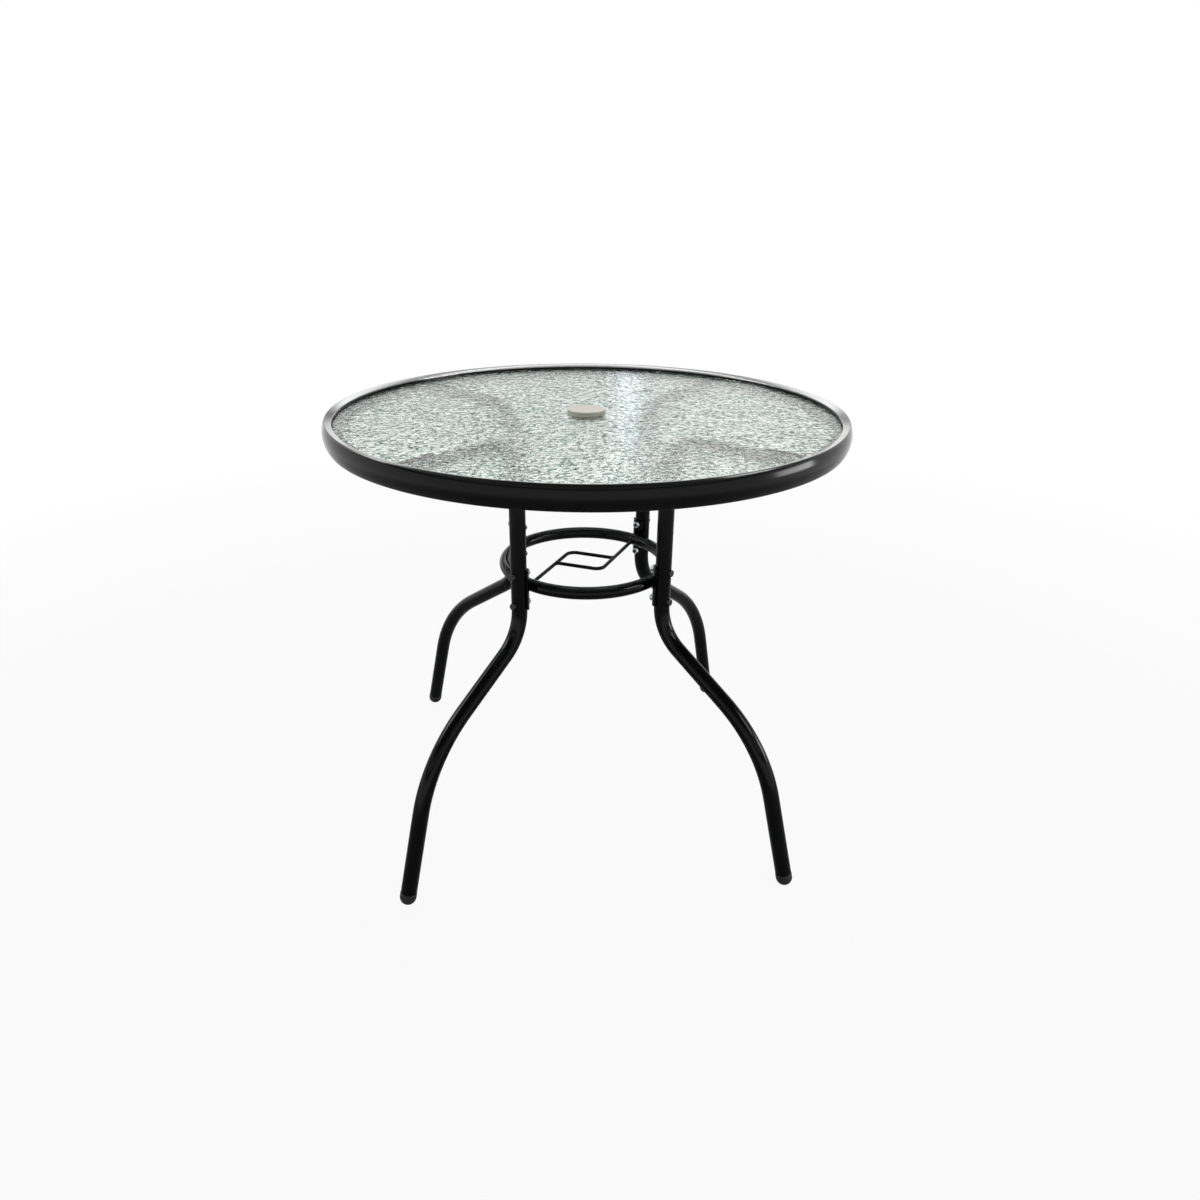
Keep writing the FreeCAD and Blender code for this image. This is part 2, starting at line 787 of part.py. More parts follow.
def make_rim_saddle(place, azimuth):
    length = size["rim_saddle_length"]
    reach = chord_height(flange_radius, saddle_outside)
    body = new_body(f"rim_saddle_{place}", azimuth)
    section = new_sketch(body, "Section", "YZ_Plane", reach - size["seat_gap"])
    draw_saddle(section, (ZERO, arm_height), 270, size["rim_saddle_wrap_angle"])
    plate = pad(body, section, length, reverse=True)
    round_edges(body, plate, size["saddle_corner"], inner_saddle_corner_edge)
    holes = new_sketch(body, "BoltHoles", "XY_Plane", arm_height)
    for radius in rim_bolt_radii:
        draw_circle(holes, (radius, ZERO), size["bolt_hole_radius"])
    pocket(body, holes, saddle_outside + size["seat_gap"])
    return body


def inner_saddle_corner_edge(edge):
    """The corners at the plate's free end, away from the rim's weld."""
    half_way = flange_radius.number - size["rim_saddle_length"].number / 2
    return saddle_corner_edge(edge) and edge.Vertexes[0].Point.x < half_way


# The brace is a closed hoop of tube inside the four saddle plates.
def make_brace_ring():
    body = new_body("brace_ring")
    section = new_sketch(body, "TubeSection", "XZ_Plane")
    centre = (brace_ring_radius, size["brace_height"])
    draw_circle(section, centre, brace_tube_radius)
    draw_circle(section, centre, brace_tube_radius - size["brace_tube_wall"])
    revolve(body, section)
    return body


# Two bent rods cross the ring and leave a window in the middle that steadies
# the pole. Each rod's long end meets the ring and its short end meets the
# other rod. In this sketch the long stretch runs along Y.
def make_guide_rod(name, azimuth):
    rod_radius = size["guide_rod_diameter"] / 2
    bend = size["guide_corner_radius"]
    slant = as_size(QUARTER_TURN) - size["guide_corner_angle"]
    long_at = -size["guide_long_offset"]
    # Where the short stretch would cross the long one, were the corner sharp.
    corner = (
        long_at,
        size["guide_short_offset"] / cosine(slant) + long_at * tangent(slant),
    )
    trim = bend * tangent(size["guide_corner_angle"] / 2)
    bend_start = (long_at, corner[1] - trim)
    bend_centre = (long_at + bend, corner[1] - trim)
    bend_end = (
        corner[0] + trim * cosine(slant),
        corner[1] + trim * sine(slant),
    )
    tip_at = size["guide_long_offset"] - rod_radius - size["seat_gap"] * 2
    tip = (tip_at, corner[1] + (tip_at - corner[0]) * tangent(slant))
    ring_end = (long_at, -chord_height(brace_ring_radius, long_at))

    body = new_body(name, azimuth)
    profile = new_sketch(body, "RodSection", "XZ_Plane", -ring_end[1])
    draw_circle(profile, (long_at, size["brace_height"]), rod_radius)
    path = new_sketch(body, "CentreLine", "XY_Plane", size["brace_height"])
    draw_chain(
        path,
        ring_end,
        bend_start,
        (bend_end, bend_centre, bend, False),
        tip,
        closed=False,
    )
    rod = sweep(body, profile, path)
    doc.recompute()
    volume_before = rod.Shape.Volume
    cope = new_sketch(body, "Cope", "XZ_Plane")
    cope_radius = brace_tube_radius + size["seat_gap"]
    draw_circle(cope, (brace_ring_radius, size["brace_height"]), cope_radius)
    groove = body.newObject("PartDesign::Groove", "CopedEnd")
    groove.Profile = cope
    groove.ReferenceAxis = (cope, ["V_Axis"])
    groove.Angle = FULL_TURN
    must_cut(body, groove, volume_before)
    return body


# Fasteners. Each group is drawn on one leg and repeated round the table.
def make_brace_bolts():
    body = new_body("brace_bolts", FIRST_LEG_ANGLE)
    head_at = leg_radius + tube_radius + size["seat_gap"]
    heads = new_sketch(body, "Heads", "YZ_Plane", head_at)
    shanks = new_sketch(body, "Shanks", "YZ_Plane", head_at)
    for height in brace_bolt_heights:
        draw_hexagon(heads, (ZERO, height), size["bolt_head_flats"])
        draw_circle(shanks, (ZERO, height), size["bolt_radius"])
    head_pad = pad(body, heads, size["bolt_head_height"])
    shank_pad = pad(body, shanks, size["brace_bolt_length"], reverse=True)
    polar_pattern(body, [head_pad, shank_pad], len(LEG_ANGLES))
    return body


def make_brace_nuts():
    body = new_body("brace_nuts", FIRST_LEG_ANGLE)
    seat_at = leg_radius - saddle_outside - size["seat_gap"]
    nuts = new_sketch(body, "Nuts", "YZ_Plane", seat_at)
    for height in brace_bolt_heights:
        draw_hexagon(nuts, (ZERO, height), size["bolt_head_flats"])
        draw_circle(nuts, (ZERO, height), size["bolt_radius"] + size["thread_gap"])
    first = pad(body, nuts, size["nut_height"], reverse=True)
    polar_pattern(body, [first], len(LEG_ANGLES))
    return body


def make_rim_bolts():
    body = new_body("rim_bolts", FIRST_LEG_ANGLE)
    head_at = arm_height - saddle_outside - size["seat_gap"]
    heads = new_sketch(body, "Heads", "XY_Plane", head_at)
    shanks = new_sketch(body, "Shanks", "XY_Plane", head_at)
    for radius in rim_bolt_radii:
        draw_hexagon(heads, (radius, ZERO), size["bolt_head_flats"])
        draw_circle(shanks, (radius, ZERO), size["bolt_radius"])
    head_pad = pad(body, heads, size["bolt_head_height"], reverse=True)
    shank_pad = pad(body, shanks, size["rim_bolt_length"])
    polar_pattern(body, [head_pad, shank_pad], len(LEG_ANGLES))
    return body


def make_arm_inserts():
    body = new_body("arm_inserts", FIRST_LEG_ANGLE)
    foot = arm_height - chord_height(saddle_inside, size["insert_radius"]) + size["seat_gap"]
    inserts = new_sketch(body, "Inserts", "XY_Plane", foot)
    for radius in rim_bolt_radii:
        draw_circle(inserts, (radius, ZERO), size["insert_radius"])
        draw_circle(inserts, (radius, ZERO), size["bolt_radius"] + size["thread_gap"])
    first = pad(body, inserts, size["insert_length"])
    polar_pattern(body, [first], len(LEG_ANGLES))
    return body


def make_all():
    bodies = [
        make_rim(),
        make_glass(),
        make_glass_pads(),
        make_grommet(),
        make_cap(),
        make_brace_ring(),
        make_guide_rod("guide_rod_left", size["guide_angle"] - QUARTER_TURN),
        make_guide_rod("guide_rod_right", size["guide_angle"] + QUARTER_TURN),
        make_foot_caps(),
        make_end_plugs(),
        make_brace_bolts(),
        make_brace_nuts(),
        make_rim_bolts(),
        make_arm_inserts(),
    ]
    for place, azimuth in LEG_ANGLES.items():
        bodies.append(make_leg(place, azimuth))
        bodies.append(make_brace_saddle(place, azimuth))
        bodies.append(make_rim_saddle(place, azimuth))
    return bodies


def check_document():
    for item in doc.Objects:
        faults = {"Invalid", "Error"} & set(item.State)
        if faults:
            raise RuntimeError(f"{item.Name} ({item.Label}) is {sorted(faults)}")


def write_parts(bodies):
    os.makedirs("parts", exist_ok=True)
    for body in bodies:
        shape = body.Shape
        if shape.isNull() or not shape.isValid():
            raise RuntimeError(f"{body.Label} has no valid shape")
        shape.exportStep(os.path.join("parts", f"{body.Label}.step"))
        box = shape.optimalBoundingBox(True, False)
        print(
            f"{body.Label}: {len(shape.Solids)} solid, {shape.Volume / 1000:.1f} cm3, "
            f"Z {box.ZMin:.1f} to {box.ZMax:.1f}, reach {box.XMax:.1f}"
        )


all_bodies = make_all()
doc.recompute()
check_document()
write_parts(all_bodies)
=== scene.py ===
# %% [markdown]
# # A round garden table with a parasol hole
#
# The real table is a rolled steel rim that carries a disc of rippled toughened glass, four bent
# tube legs, and a hoop of tube half way up with two rods that steady a parasol pole.
# The solids are already exact, so this lesson keeps every size and gives each piece the smooth
# curves, folds, welds and finishes that the eye expects.

# %% Load the table
import math
import bmesh
import bpy
from mathutils import Matrix, Vector


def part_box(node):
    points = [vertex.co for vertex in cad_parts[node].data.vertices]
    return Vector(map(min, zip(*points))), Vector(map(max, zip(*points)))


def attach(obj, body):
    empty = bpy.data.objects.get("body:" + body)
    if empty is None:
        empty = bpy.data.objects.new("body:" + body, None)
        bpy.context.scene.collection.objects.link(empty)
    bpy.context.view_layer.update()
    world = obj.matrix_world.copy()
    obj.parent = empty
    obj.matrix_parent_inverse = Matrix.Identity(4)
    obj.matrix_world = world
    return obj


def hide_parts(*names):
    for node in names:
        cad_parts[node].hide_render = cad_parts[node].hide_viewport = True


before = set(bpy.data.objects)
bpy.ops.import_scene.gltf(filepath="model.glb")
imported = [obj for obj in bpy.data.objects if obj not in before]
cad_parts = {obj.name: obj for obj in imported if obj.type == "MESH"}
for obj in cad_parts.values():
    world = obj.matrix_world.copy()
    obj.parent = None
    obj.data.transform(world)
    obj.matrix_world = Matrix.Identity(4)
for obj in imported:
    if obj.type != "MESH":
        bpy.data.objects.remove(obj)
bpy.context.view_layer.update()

# %% [markdown]
# ## Sizes
#
# Heights and radii that a whole piece shows are read from that piece's box.
# What a box can't tell, such as a bend or a wall, is a named size in millimetres.

# %% Sizes shared by several pieces
MM = 0.001
FULL = math.tau
LEG_TURNS = {"rear_right": 45, "rear_left": 135, "front_left": 225, "front_right": 315}

rim_low, rim_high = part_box("rim_hoop")
glass_low, glass_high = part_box("glass_top")
ring_low, ring_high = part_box("brace_ring")
grommet_low, grommet_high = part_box("umbrella_grommet")
cap_low, cap_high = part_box("umbrella_cap")

RIM_RADIUS = rim_high.x
RIM_TOP = rim_high.z
RIM_FOOT = rim_low.z
LIP_RADIUS = RIM_RADIUS - 15 * MM
LEDGE_WIDTH = 13 * MM
FLANGE_RADIUS = LIP_RADIUS - LEDGE_WIDTH
LEDGE_TOP = glass_low.z - 1.5 * MM
LEG_CIRCLE = 159 * MM
LEG_TUBE = 12.5 * MM
LEG_WALL = 1.2 * MM
ARM_HEIGHT = glass_low.z - 2 * MM - LEG_TUBE
ARM_END = FLANGE_RADIUS - 7 * MM
SADDLE_INSIDE = LEG_TUBE + 0.3 * MM
SADDLE_OUTSIDE = SADDLE_INSIDE + 3 * MM
PAINT_GAP = 0.1 * MM
BRACE_HEIGHT = (ring_low.z + ring_high.z) / 2
BRACE_TUBE = (ring_high.z - ring_low.z) / 2
BRACE_RING = LEG_CIRCLE - SADDLE_OUTSIDE - PAINT_GAP - BRACE_TUBE
print("rim", round(RIM_RADIUS / MM, 1), "top", round(RIM_TOP / MM, 1), "brace", round(BRACE_RING / MM, 1))

# %% [markdown]
# ## Camera
#
# The photograph looks down on the table by a good quarter of a right angle, from a little left of
# straight in front. A camera is a place, three turns and a lens. The place and the turns were
# found from the round rim, which a camera sees as an ellipse, and from the four feet.

# %% Camera
CAMERA_DISTANCE = 1.3518
CAMERA_HEIGHT = 0.9985
CAMERA_SIDE_TURN = math.radians(-5.09)
CAMERA_YAW = math.radians(0.59)
CAMERA_PITCH = math.radians(24.26)
CAMERA_ROLL = math.radians(0.27)
PHOTO_SIZE = 1200
FOCAL_PIXELS = 871.3
AXIS_PIXEL = (576.7, 589.8)

camera_data = bpy.data.cameras.new("camera")
camera_data.sensor_width = 36
camera_data.lens = camera_data.sensor_width * FOCAL_PIXELS / PHOTO_SIZE
camera_data.shift_x = 0.5 - AXIS_PIXEL[0] / PHOTO_SIZE
camera_data.shift_y = AXIS_PIXEL[1] / PHOTO_SIZE - 0.5
camera = bpy.data.objects.new("camera", camera_data)
bpy.context.scene.collection.objects.link(camera)
side_turn = Matrix.Rotation(CAMERA_SIDE_TURN, 4, "Z")
camera.matrix_world = (
    side_turn
    @ Matrix.Translation((0, -CAMERA_DISTANCE, CAMERA_HEIGHT))
    @ Matrix.Rotation(CAMERA_YAW, 4, "Z")
    @ Matrix.Rotation(math.radians(90) - CAMERA_PITCH, 4, "X")
    @ Matrix.Rotation(CAMERA_ROLL, 4, "Z")
)
bpy.context.scene.camera = camera
bpy.context.scene.view_settings.view_transform = "Standard"
print("lens", round(camera_data.lens, 2), "camera at", [round(v, 3) for v in camera.matrix_world.translation])

# %% [markdown]
# ## Two small helpers for nodes
#
# Screens store colours bent by a curve, so a hex value is straightened before a shader gets it.
# Materials and geometry trees are both built from nodes, so one function adds a node of any kind.

# %% Colours and nodes
def colour(code):
    """A linear colour from an sRGB hex value such as C9D3CC."""
    channels = [int(code[at:at + 2], 16) / 255 for at in (0, 2, 4)]
    linear = [c / 12.92 if c <= 0.04045 else ((c + 0.055) / 1.055) ** 2.4 for c in channels]
    return (*linear, 1.0)


def add_node(tree, kind, inputs=None, **settings):
    """Add a node with its settings. Inputs are values, or outputs of other nodes, by name or number."""
    node = tree.nodes.new(kind)
    for name, value in settings.items():
        setattr(node, name, value)
    for socket, value in (inputs or {}).items():
        if isinstance(value, bpy.types.NodeSocket):
            tree.links.new(value, node.inputs[socket])
        else:
            node.inputs[socket].default_value = value
    return node


def per_metre(feature):
    """The scale of a pattern whose features are this many metres wide."""
    return 1 / feature


def new_material(name):
    """A material with its Principled shader, its tree and its place coordinates."""
    made = bpy.data.materials.new(name)
    made.use_nodes = True
    shader = made.node_tree.nodes["Principled BSDF"]
    place = add_node(made.node_tree, "ShaderNodeTexCoord").outputs["Object"]
    return made, made.node_tree, shader, place


# %% [markdown]
# ## Black powder coat
#
# The steel is sprayed with polyester powder and baked. It comes out a deep gloss black with the
# faint "orange peel" of powder that flowed but never levelled: soft dimples about 2 mm wide.
# A little dust dulls the gloss in patches, and that keeps black paint from looking like ink.
# Sleeves and cloths rub the rim's crest beside the glass, so this narrow band shines more than
# the rest and mirrors the bright wall as a pale line.

# %% Gloss black powder coat on steel
DUST_PATCH = 60 * MM
PEEL_WIDTH = 2.2 * MM
PEEL_DEPTH = 0.05 * MM
RUBBED_FROM = RIM_TOP - 5 * MM
RUBBED_OUT_TO = RIM_RADIUS - 3 * MM
RUBBED_FADE = 3 * MM


def make_powder_coat():
    """Black paint with dusty patches, orange peel and a rubbed band on the rim's crest."""
    made, tree, shader, place = new_material("gloss_powder_coat")
    patches = add_node(tree, "ShaderNodeTexNoise", {
        "Vector": place, "Scale": per_metre(DUST_PATCH), "Detail": 4,
    })
    shade = add_node(tree, "ShaderNodeMix", {0: patches.outputs[0], 6: colour("050507"), 7: colour("0A0A0D")},
                     data_type="RGBA")
    gloss = add_node(tree, "ShaderNodeMapRange", {0: patches.outputs[0], 1: 0.3, 2: 0.7, 3: 0.11, 4: 0.17})
    peel = add_node(tree, "ShaderNodeTexNoise", {
        "Vector": place, "Scale": per_metre(PEEL_WIDTH), "Detail": 1,
    })
    relief = add_node(tree, "ShaderNodeBump", {
        "Strength": 0.12, "Distance": PEEL_DEPTH, "Height": peel.outputs[0],
    })
    tree.links.new(shade.outputs[2], shader.inputs["Base Color"])
    tree.links.new(gloss.outputs[0], shader.inputs["Roughness"])
    tree.links.new(relief.outputs[0], shader.inputs["Normal"])
    part = add_node(tree, "ShaderNodeSeparateXYZ", {0: place})
    flat = add_node(tree, "ShaderNodeCombineXYZ", {0: part.outputs["X"], 1: part.outputs["Y"]})
    reach = add_node(tree, "ShaderNodeVectorMath", {0: flat.outputs[0]}, operation="LENGTH")
    high = add_node(tree, "ShaderNodeMapRange", {0: part.outputs["Z"], 1: RUBBED_FROM, 2: RUBBED_FROM + MM})
    inside = add_node(tree, "ShaderNodeMapRange", {
        0: reach.outputs["Value"], 1: RUBBED_OUT_TO - RUBBED_FADE, 2: RUBBED_OUT_TO, 3: 1.0, 4: 0.0,
    })
    rubbed = add_node(tree, "ShaderNodeMath", {0: high.outputs[0], 1: inside.outputs[0]},
                      operation="MULTIPLY")
    tree.links.new(rubbed.outputs[0], shader.inputs["Coat Weight"])
    shader.inputs["Coat Roughness"].default_value = 0.15
    shader.inputs["Coat IOR"].default_value = 3.0
    shader.inputs["Specular IOR Level"].default_value = 0.11
    shader.inputs["IOR"].default_value = 1.5
    return made


powder_coat = make_powder_coat()
print("made", powder_coat.name)

# %% [markdown]
# ## Rippled toughened glass
#
# Patterned glass is soda-lime glass rolled between a smooth and an engraved roller. Iron in the
# sand makes it a pale grey-green. The waves scatter what lies behind it, so the arms under the
# top show only as soft dark bands. The broad waves are real geometry further down. The finish
# adds finer pebbles on top of them as bumps, and paints light and shade on them: a painted
# highlight on each crest and painted shade in each hollow, for the light that the pebbles bend.
# Straight down this painted light hardly shows. At a low slant it is strong, which is what Layer
# Weight is here for.

# %% Rippled glass
WAVE_WIDTH = 14 * MM
PEBBLE_WIDTH = 6 * MM
PEBBLE_DEPTH = 0.6 * MM
BATCH_WIDTH = 220 * MM
# Painted shade in the hollows, the glass's own green between them, and a painted highlight on the crests
PEBBLE_LIGHT_AND_SHADE = ((0.42, "22403A"), (0.5, "AECDC2"), (0.58, "FCFFFD"))
MIDDLE_OF_SHEET = (glass_low.z + glass_high.z) / 2


def make_rippled_glass():
    """Pale green glass. Painted highlights and painted shade on its pebbles colour the upper face alone, most
    of all at a low slant.
    """
    made, tree, shader, place = new_material("rippled_toughened_glass")
    pebbles = add_node(tree, "ShaderNodeTexNoise", {
        "Vector": place, "Scale": per_metre(PEBBLE_WIDTH), "Detail": 1.0, "Roughness": 0.5, "Distortion": 0.4,
    })
    # The pebbles' ramp paints shade in the hollows and a highlight on the crests
    shade = add_node(tree, "ShaderNodeValToRGB", {0: pebbles.outputs[0]})
    stops = shade.color_ramp.elements
    stops.new(0.5)
    for stop, (position, tint) in zip(stops, PEBBLE_LIGHT_AND_SHADE):
        stop.position = position
        stop.color = colour(tint)
    # The cast of the batch, which drifts between cool and warm across the sheet
    batch = add_node(tree, "ShaderNodeTexNoise", {
        "Vector": place, "Scale": per_metre(BATCH_WIDTH), "Detail": 1,
    })
    cast = add_node(tree, "ShaderNodeMix", {0: batch.outputs[0], 6: colour("E9F3EE"), 7: colour("F6F1E8")},
                    data_type="RGBA")
    # The painted highlights and shade of the pebbles, from faint straight down to full at a low slant
    facing = add_node(tree, "ShaderNodeLayerWeight").outputs["Facing"]
    slant = add_node(tree, "ShaderNodeMapRange", {0: facing, 1: 0.3, 2: 0.7, 3: 0.15, 4: 1.0})
    waves = add_node(tree, "ShaderNodeMix", {0: slant.outputs[0], 6: colour("DDEAE3"), 7: shade.outputs[0]},
                     data_type="RGBA")
    pebble_light_and_cast = add_node(tree, "ShaderNodeMix", {0: 1.0, 6: waves.outputs[2], 7: cast.outputs[2]},
                      data_type="RGBA", blend_type="MULTIPLY")
    height = add_node(tree, "ShaderNodeSeparateXYZ", {0: place})
    on_top = add_node(tree, "ShaderNodeMath", {0: height.outputs["Z"], 1: MIDDLE_OF_SHEET},
                      operation="GREATER_THAN")
    sheet = add_node(tree, "ShaderNodeMix", {0: on_top.outputs[0], 6: colour("F8FCFA"), 7: pebble_light_and_cast.outputs[2]},
                     data_type="RGBA")
    relief = add_node(tree, "ShaderNodeBump", {
        "Strength": 1.0, "Distance": PEBBLE_DEPTH, "Height": pebbles.outputs[0],
    })
    tree.links.new(sheet.outputs[2], shader.inputs["Base Color"])
    tree.links.new(relief.outputs[0], shader.inputs["Normal"])
    shader.inputs["Roughness"].default_value = 0.06
    shader.inputs["IOR"].default_value = 1.5
    shader.inputs["Transmission Weight"].default_value = 0.95
    return made


rippled_glass = make_rippled_glass()
print("made", rippled_glass.name)

# %% [markdown]
# ## Plastics and rubber
#
# The grommet and its cap are ivory polypropylene, moulded with a glossy skin that lets light in a
# little way. Feet and plugs are black polyethylene, duller than the paint and faintly grained.
# The dots under the glass are clear soft vinyl.

# %% Moulded plastics
CLOUD_WIDTH = 25 * MM
LIGHT_DEPTH = 2 * MM


def make_plastic(name, low, high, rough, grain, depth, soft=0.0):
    """A moulded plastic that wanders between two colours, with a grain this wide and deep."""
    made, tree, shader, place = new_material(name)
    cloud = add_node(tree, "ShaderNodeTexNoise", {
        "Vector": place, "Scale": per_metre(CLOUD_WIDTH), "Detail": 3,
    })
    shade = add_node(tree, "ShaderNodeMix", {0: cloud.outputs[0], 6: colour(low), 7: colour(high)},
                     data_type="RGBA")
    pores = add_node(tree, "ShaderNodeTexNoise", {"Vector": place, "Scale": per_metre(grain), "Detail": 2})
    dull = add_node(tree, "ShaderNodeMapRange", {0: pores.outputs[0], 3: rough - 0.05, 4: rough + 0.05})
    relief = add_node(tree, "ShaderNodeBump", {
        "Strength": 0.3, "Distance": depth, "Height": pores.outputs[0],
    })
    tree.links.new(shade.outputs[2], shader.inputs["Base Color"])
    tree.links.new(dull.outputs[0], shader.inputs["Roughness"])
    tree.links.new(relief.outputs[0], shader.inputs["Normal"])
    shader.inputs["Subsurface Weight"].default_value = soft
    shader.inputs["Subsurface Radius"].default_value = (1.0, 0.9, 0.8)
    shader.inputs["Subsurface Scale"].default_value = LIGHT_DEPTH
    return made


ivory_plastic = make_plastic("ivory_polypropylene", "D0CBBA", "DAD6C7", 0.24, 0.9 * MM, 0.03 * MM, soft=0.15)
black_plastic = make_plastic("black_polyethylene", "0B0B0C", "121214", 0.45, 0.7 * MM, 0.04 * MM)
clear_vinyl = make_plastic("clear_soft_vinyl", "C3C7C4", "D2D5D2", 0.3, 1.5 * MM, 0.02 * MM, soft=0.3)
print("made", ivory_plastic.name, black_plastic.name, clear_vinyl.name)

# %% [markdown]
# ## Fastener finishes
#
# The bolts are dipped black like the frame but stay a little brighter on their worn edges.
# Nuts and inserts are zinc plated: a bluish bright metal, mottled where the crystals catch light.

# %% Bolts and plated steel
WEAR_SPOT = 1.4 * MM
ZINC_CRYSTAL = 1.2 * MM


def make_bolt_steel():
    """Black dipped steel, brighter in worn spots."""
    made, tree, shader, place = new_material("black_coated_steel")
    wear = add_node(tree, "ShaderNodeTexNoise", {
        "Vector": place, "Scale": per_metre(WEAR_SPOT), "Detail": 4,
    })
    shade = add_node(tree, "ShaderNodeMix", {0: wear.outputs[0], 6: colour("0C0C0E"), 7: colour("1C1C1F")},
                     data_type="RGBA")
    dull = add_node(tree, "ShaderNodeMapRange", {0: wear.outputs[0], 3: 0.14, 4: 0.3})
    tree.links.new(shade.outputs[2], shader.inputs["Base Color"])
    tree.links.new(dull.outputs[0], shader.inputs["Roughness"])
    return made


def make_zinc():
    """Bright zinc, mottled by its crystals."""
    made, tree, shader, place = new_material("zinc_plated_steel")
    mottle = add_node(tree, "ShaderNodeTexVoronoi", {"Vector": place, "Scale": per_metre(ZINC_CRYSTAL)})
    mottling = mottle.outputs["Distance"]
    shade = add_node(tree, "ShaderNodeMix", {0: mottling, 6: colour("A9ADB2"), 7: colour("C6C9CC")},
                     data_type="RGBA")
    dull = add_node(tree, "ShaderNodeMapRange", {0: mottling, 3: 0.25, 4: 0.4})
    tree.links.new(shade.outputs[2], shader.inputs["Base Color"])
    tree.links.new(dull.outputs[0], shader.inputs["Roughness"])
    shader.inputs["Metallic"].default_value = 1
    return made


bolt_steel = make_bolt_steel()
zinc_steel = make_zinc()
print("made", bolt_steel.name, zinc_steel.name)

# %% [markdown]
# ## Turned pieces
#
# Most pieces are round about an axis. Their section is drawn with a radius on each corner, as a
# folding or moulding tool leaves it, and turned. The skin joins rings of points one to the next.
# Rings may have different numbers of points, which lets one function also make the wide glass,
# where the points are spread evenly instead of crowding at the hole.

# %% Outlines, rings and skins
def arc(centre, radius, start, end, step=3):
    """Points round a centre from one angle to another, in degrees, at most a step apart."""
    count = max(1, math.ceil(abs(end - start) / step))
    angles = [math.radians(start + (end - start) * k / count) for k in range(count + 1)]
    return [(centre[0] + radius * math.cos(a), centre[1] + radius * math.sin(a)) for a in angles]


def rounded(corners, step=18):
    """A closed outline through corners of (across, up, radius), each rounded by its radius."""
    outline = []
    for number, (across, up, radius) in enumerate(corners):
        here = Vector((across, up))
        if radius == 0:
            outline.append((across, up))
            continue
        back = (Vector(corners[number - 1][:2]) - here).normalized()
        ahead = (Vector(corners[(number + 1) % len(corners)][:2]) - here).normalized()
        half = back.angle(ahead) / 2
        centre = here + (back + ahead).normalized() * radius / math.sin(half)
        first = here + back * radius / math.tan(half) - centre
        start = math.degrees(math.atan2(first.y, first.x))
        turn = 180 - 2 * math.degrees(half)
        side = 1 if back.x * ahead.y - back.y * ahead.x < 0 else -1
        outline += arc(centre, radius, start, start + side * turn, step)
    return outline


def ring(radius, height, count):
    """A level ring of points round the Z axis, or one point where the radius is nothing."""
    if radius < 1e-7:
        return [(0, 0, height)]
    turns = [FULL * k / count for k in range(count)]
    return [(radius * math.cos(t), radius * math.sin(t), height) for t in turns]


def skin(name, rings):
    """A closed object through rings of points, the last of them joined to the first."""
    points = [point for loop in rings for point in loop]
    starts = [sum(len(loop) for loop in rings[:k]) for k in range(len(rings))]
    faces = []
    for k, near_start in enumerate(starts):
        near = len(rings[k])
        far, far_start = len(rings[(k + 1) % len(rings)]), starts[(k + 1) % len(rings)]
        i, j = 0, 0
        last_i, last_j = (near if near > 1 else 0), (far if far > 1 else 0)
        while i < last_i or j < last_j:
            here, there = near_start + i % near, far_start + j % far
            next_here, next_there = near_start + (i + 1) % near, far_start + (j + 1) % far
            if near == far:
                faces.append((here, next_here, next_there, there))
                i, j = i + 1, j + 1
            elif j == last_j or (i < last_i and (i + 1) * far <= (j + 1) * near):
                faces.append((here, next_here, there))
                i += 1
            else:
                faces.append((here, next_there, there))
                j += 1
    return solid(name, points, faces)


def solid(name, points, faces):
    """An object from points and faces, with its faces turned outwards."""
    mesh = bpy.data.meshes.new(name)
    mesh.from_pydata(points, [], faces)
    work = bmesh.new()
    work.from_mesh(mesh)
    bmesh.ops.recalc_face_normals(work, faces=work.faces)
    work.to_mesh(mesh)
    work.free()
    made = bpy.data.objects.new(name, mesh)
    bpy.context.scene.collection.objects.link(made)
    return made


def turned(name, outline, count=192):
    """A piece turned about the Z axis from its outline of (radius, height) points."""
    return skin(name, [ring(radius, height, count) for radius, height in outline])


# %% [markdown]
# ## Node trees for what repeats or follows a path
#
# Three trees do the repeating work. One sweeps a round tube along a path. One sets a row of small
# weld ripples along a seam, each a little different. One repeats a piece round the table.
# Each tree has its sizes as inputs, and its result is baked to a plain mesh.

# %% Build and run a geometry tree
def new_tree(name, sockets):
    """A geometry tree with these named inputs of (kind, value), and its two end nodes."""
    tree = bpy.data.node_groups.new(name, "GeometryNodeTree")
    tree.interface.new_socket("Geometry", in_out="INPUT", socket_type="NodeSocketGeometry")
    tree.interface.new_socket("Geometry", in_out="OUTPUT", socket_type="NodeSocketGeometry")
    for label, (kind, value) in sockets.items():
        socket = tree.interface.new_socket(label, in_out="INPUT", socket_type="NodeSocket" + kind)
        if value is not None:
            socket.default_value = value
    return tree, add_node(tree, "NodeGroupInput").outputs


def end_tree(tree, geometry, material):
    """Close a tree: smooth faces, real geometry for every copy, and the material."""
    smooth = add_node(tree, "GeometryNodeSetShadeSmooth", {"Geometry": geometry})
    real = add_node(tree, "GeometryNodeRealizeInstances", {"Geometry": smooth.outputs[0]})
    dressed = add_node(tree, "GeometryNodeSetMaterial", {"Geometry": real.outputs[0], "Material": material})
    add_node(tree, "NodeGroupOutput", {"Geometry": dressed.outputs[0]})


def grow(piece, tree, values):
    """Run a tree on a piece with these inputs, and keep the result as its plain mesh."""
    modifier = piece.modifiers.new(tree.name, "NODES")
    modifier.node_group = tree
    for item in tree.interface.items_tree:
        if item.in_out == "INPUT" and item.name in values:
            modifier[item.identifier] = values[item.name]
    return bake(piece)


def bake(piece):
    """Replace a piece's mesh by what its modifiers make of it."""
    graph = bpy.context.evaluated_depsgraph_get()
    mesh = bpy.data.meshes.new_from_object(piece.evaluated_get(graph), depsgraph=graph)
    piece.modifiers.clear()
    piece.data = mesh
    return piece


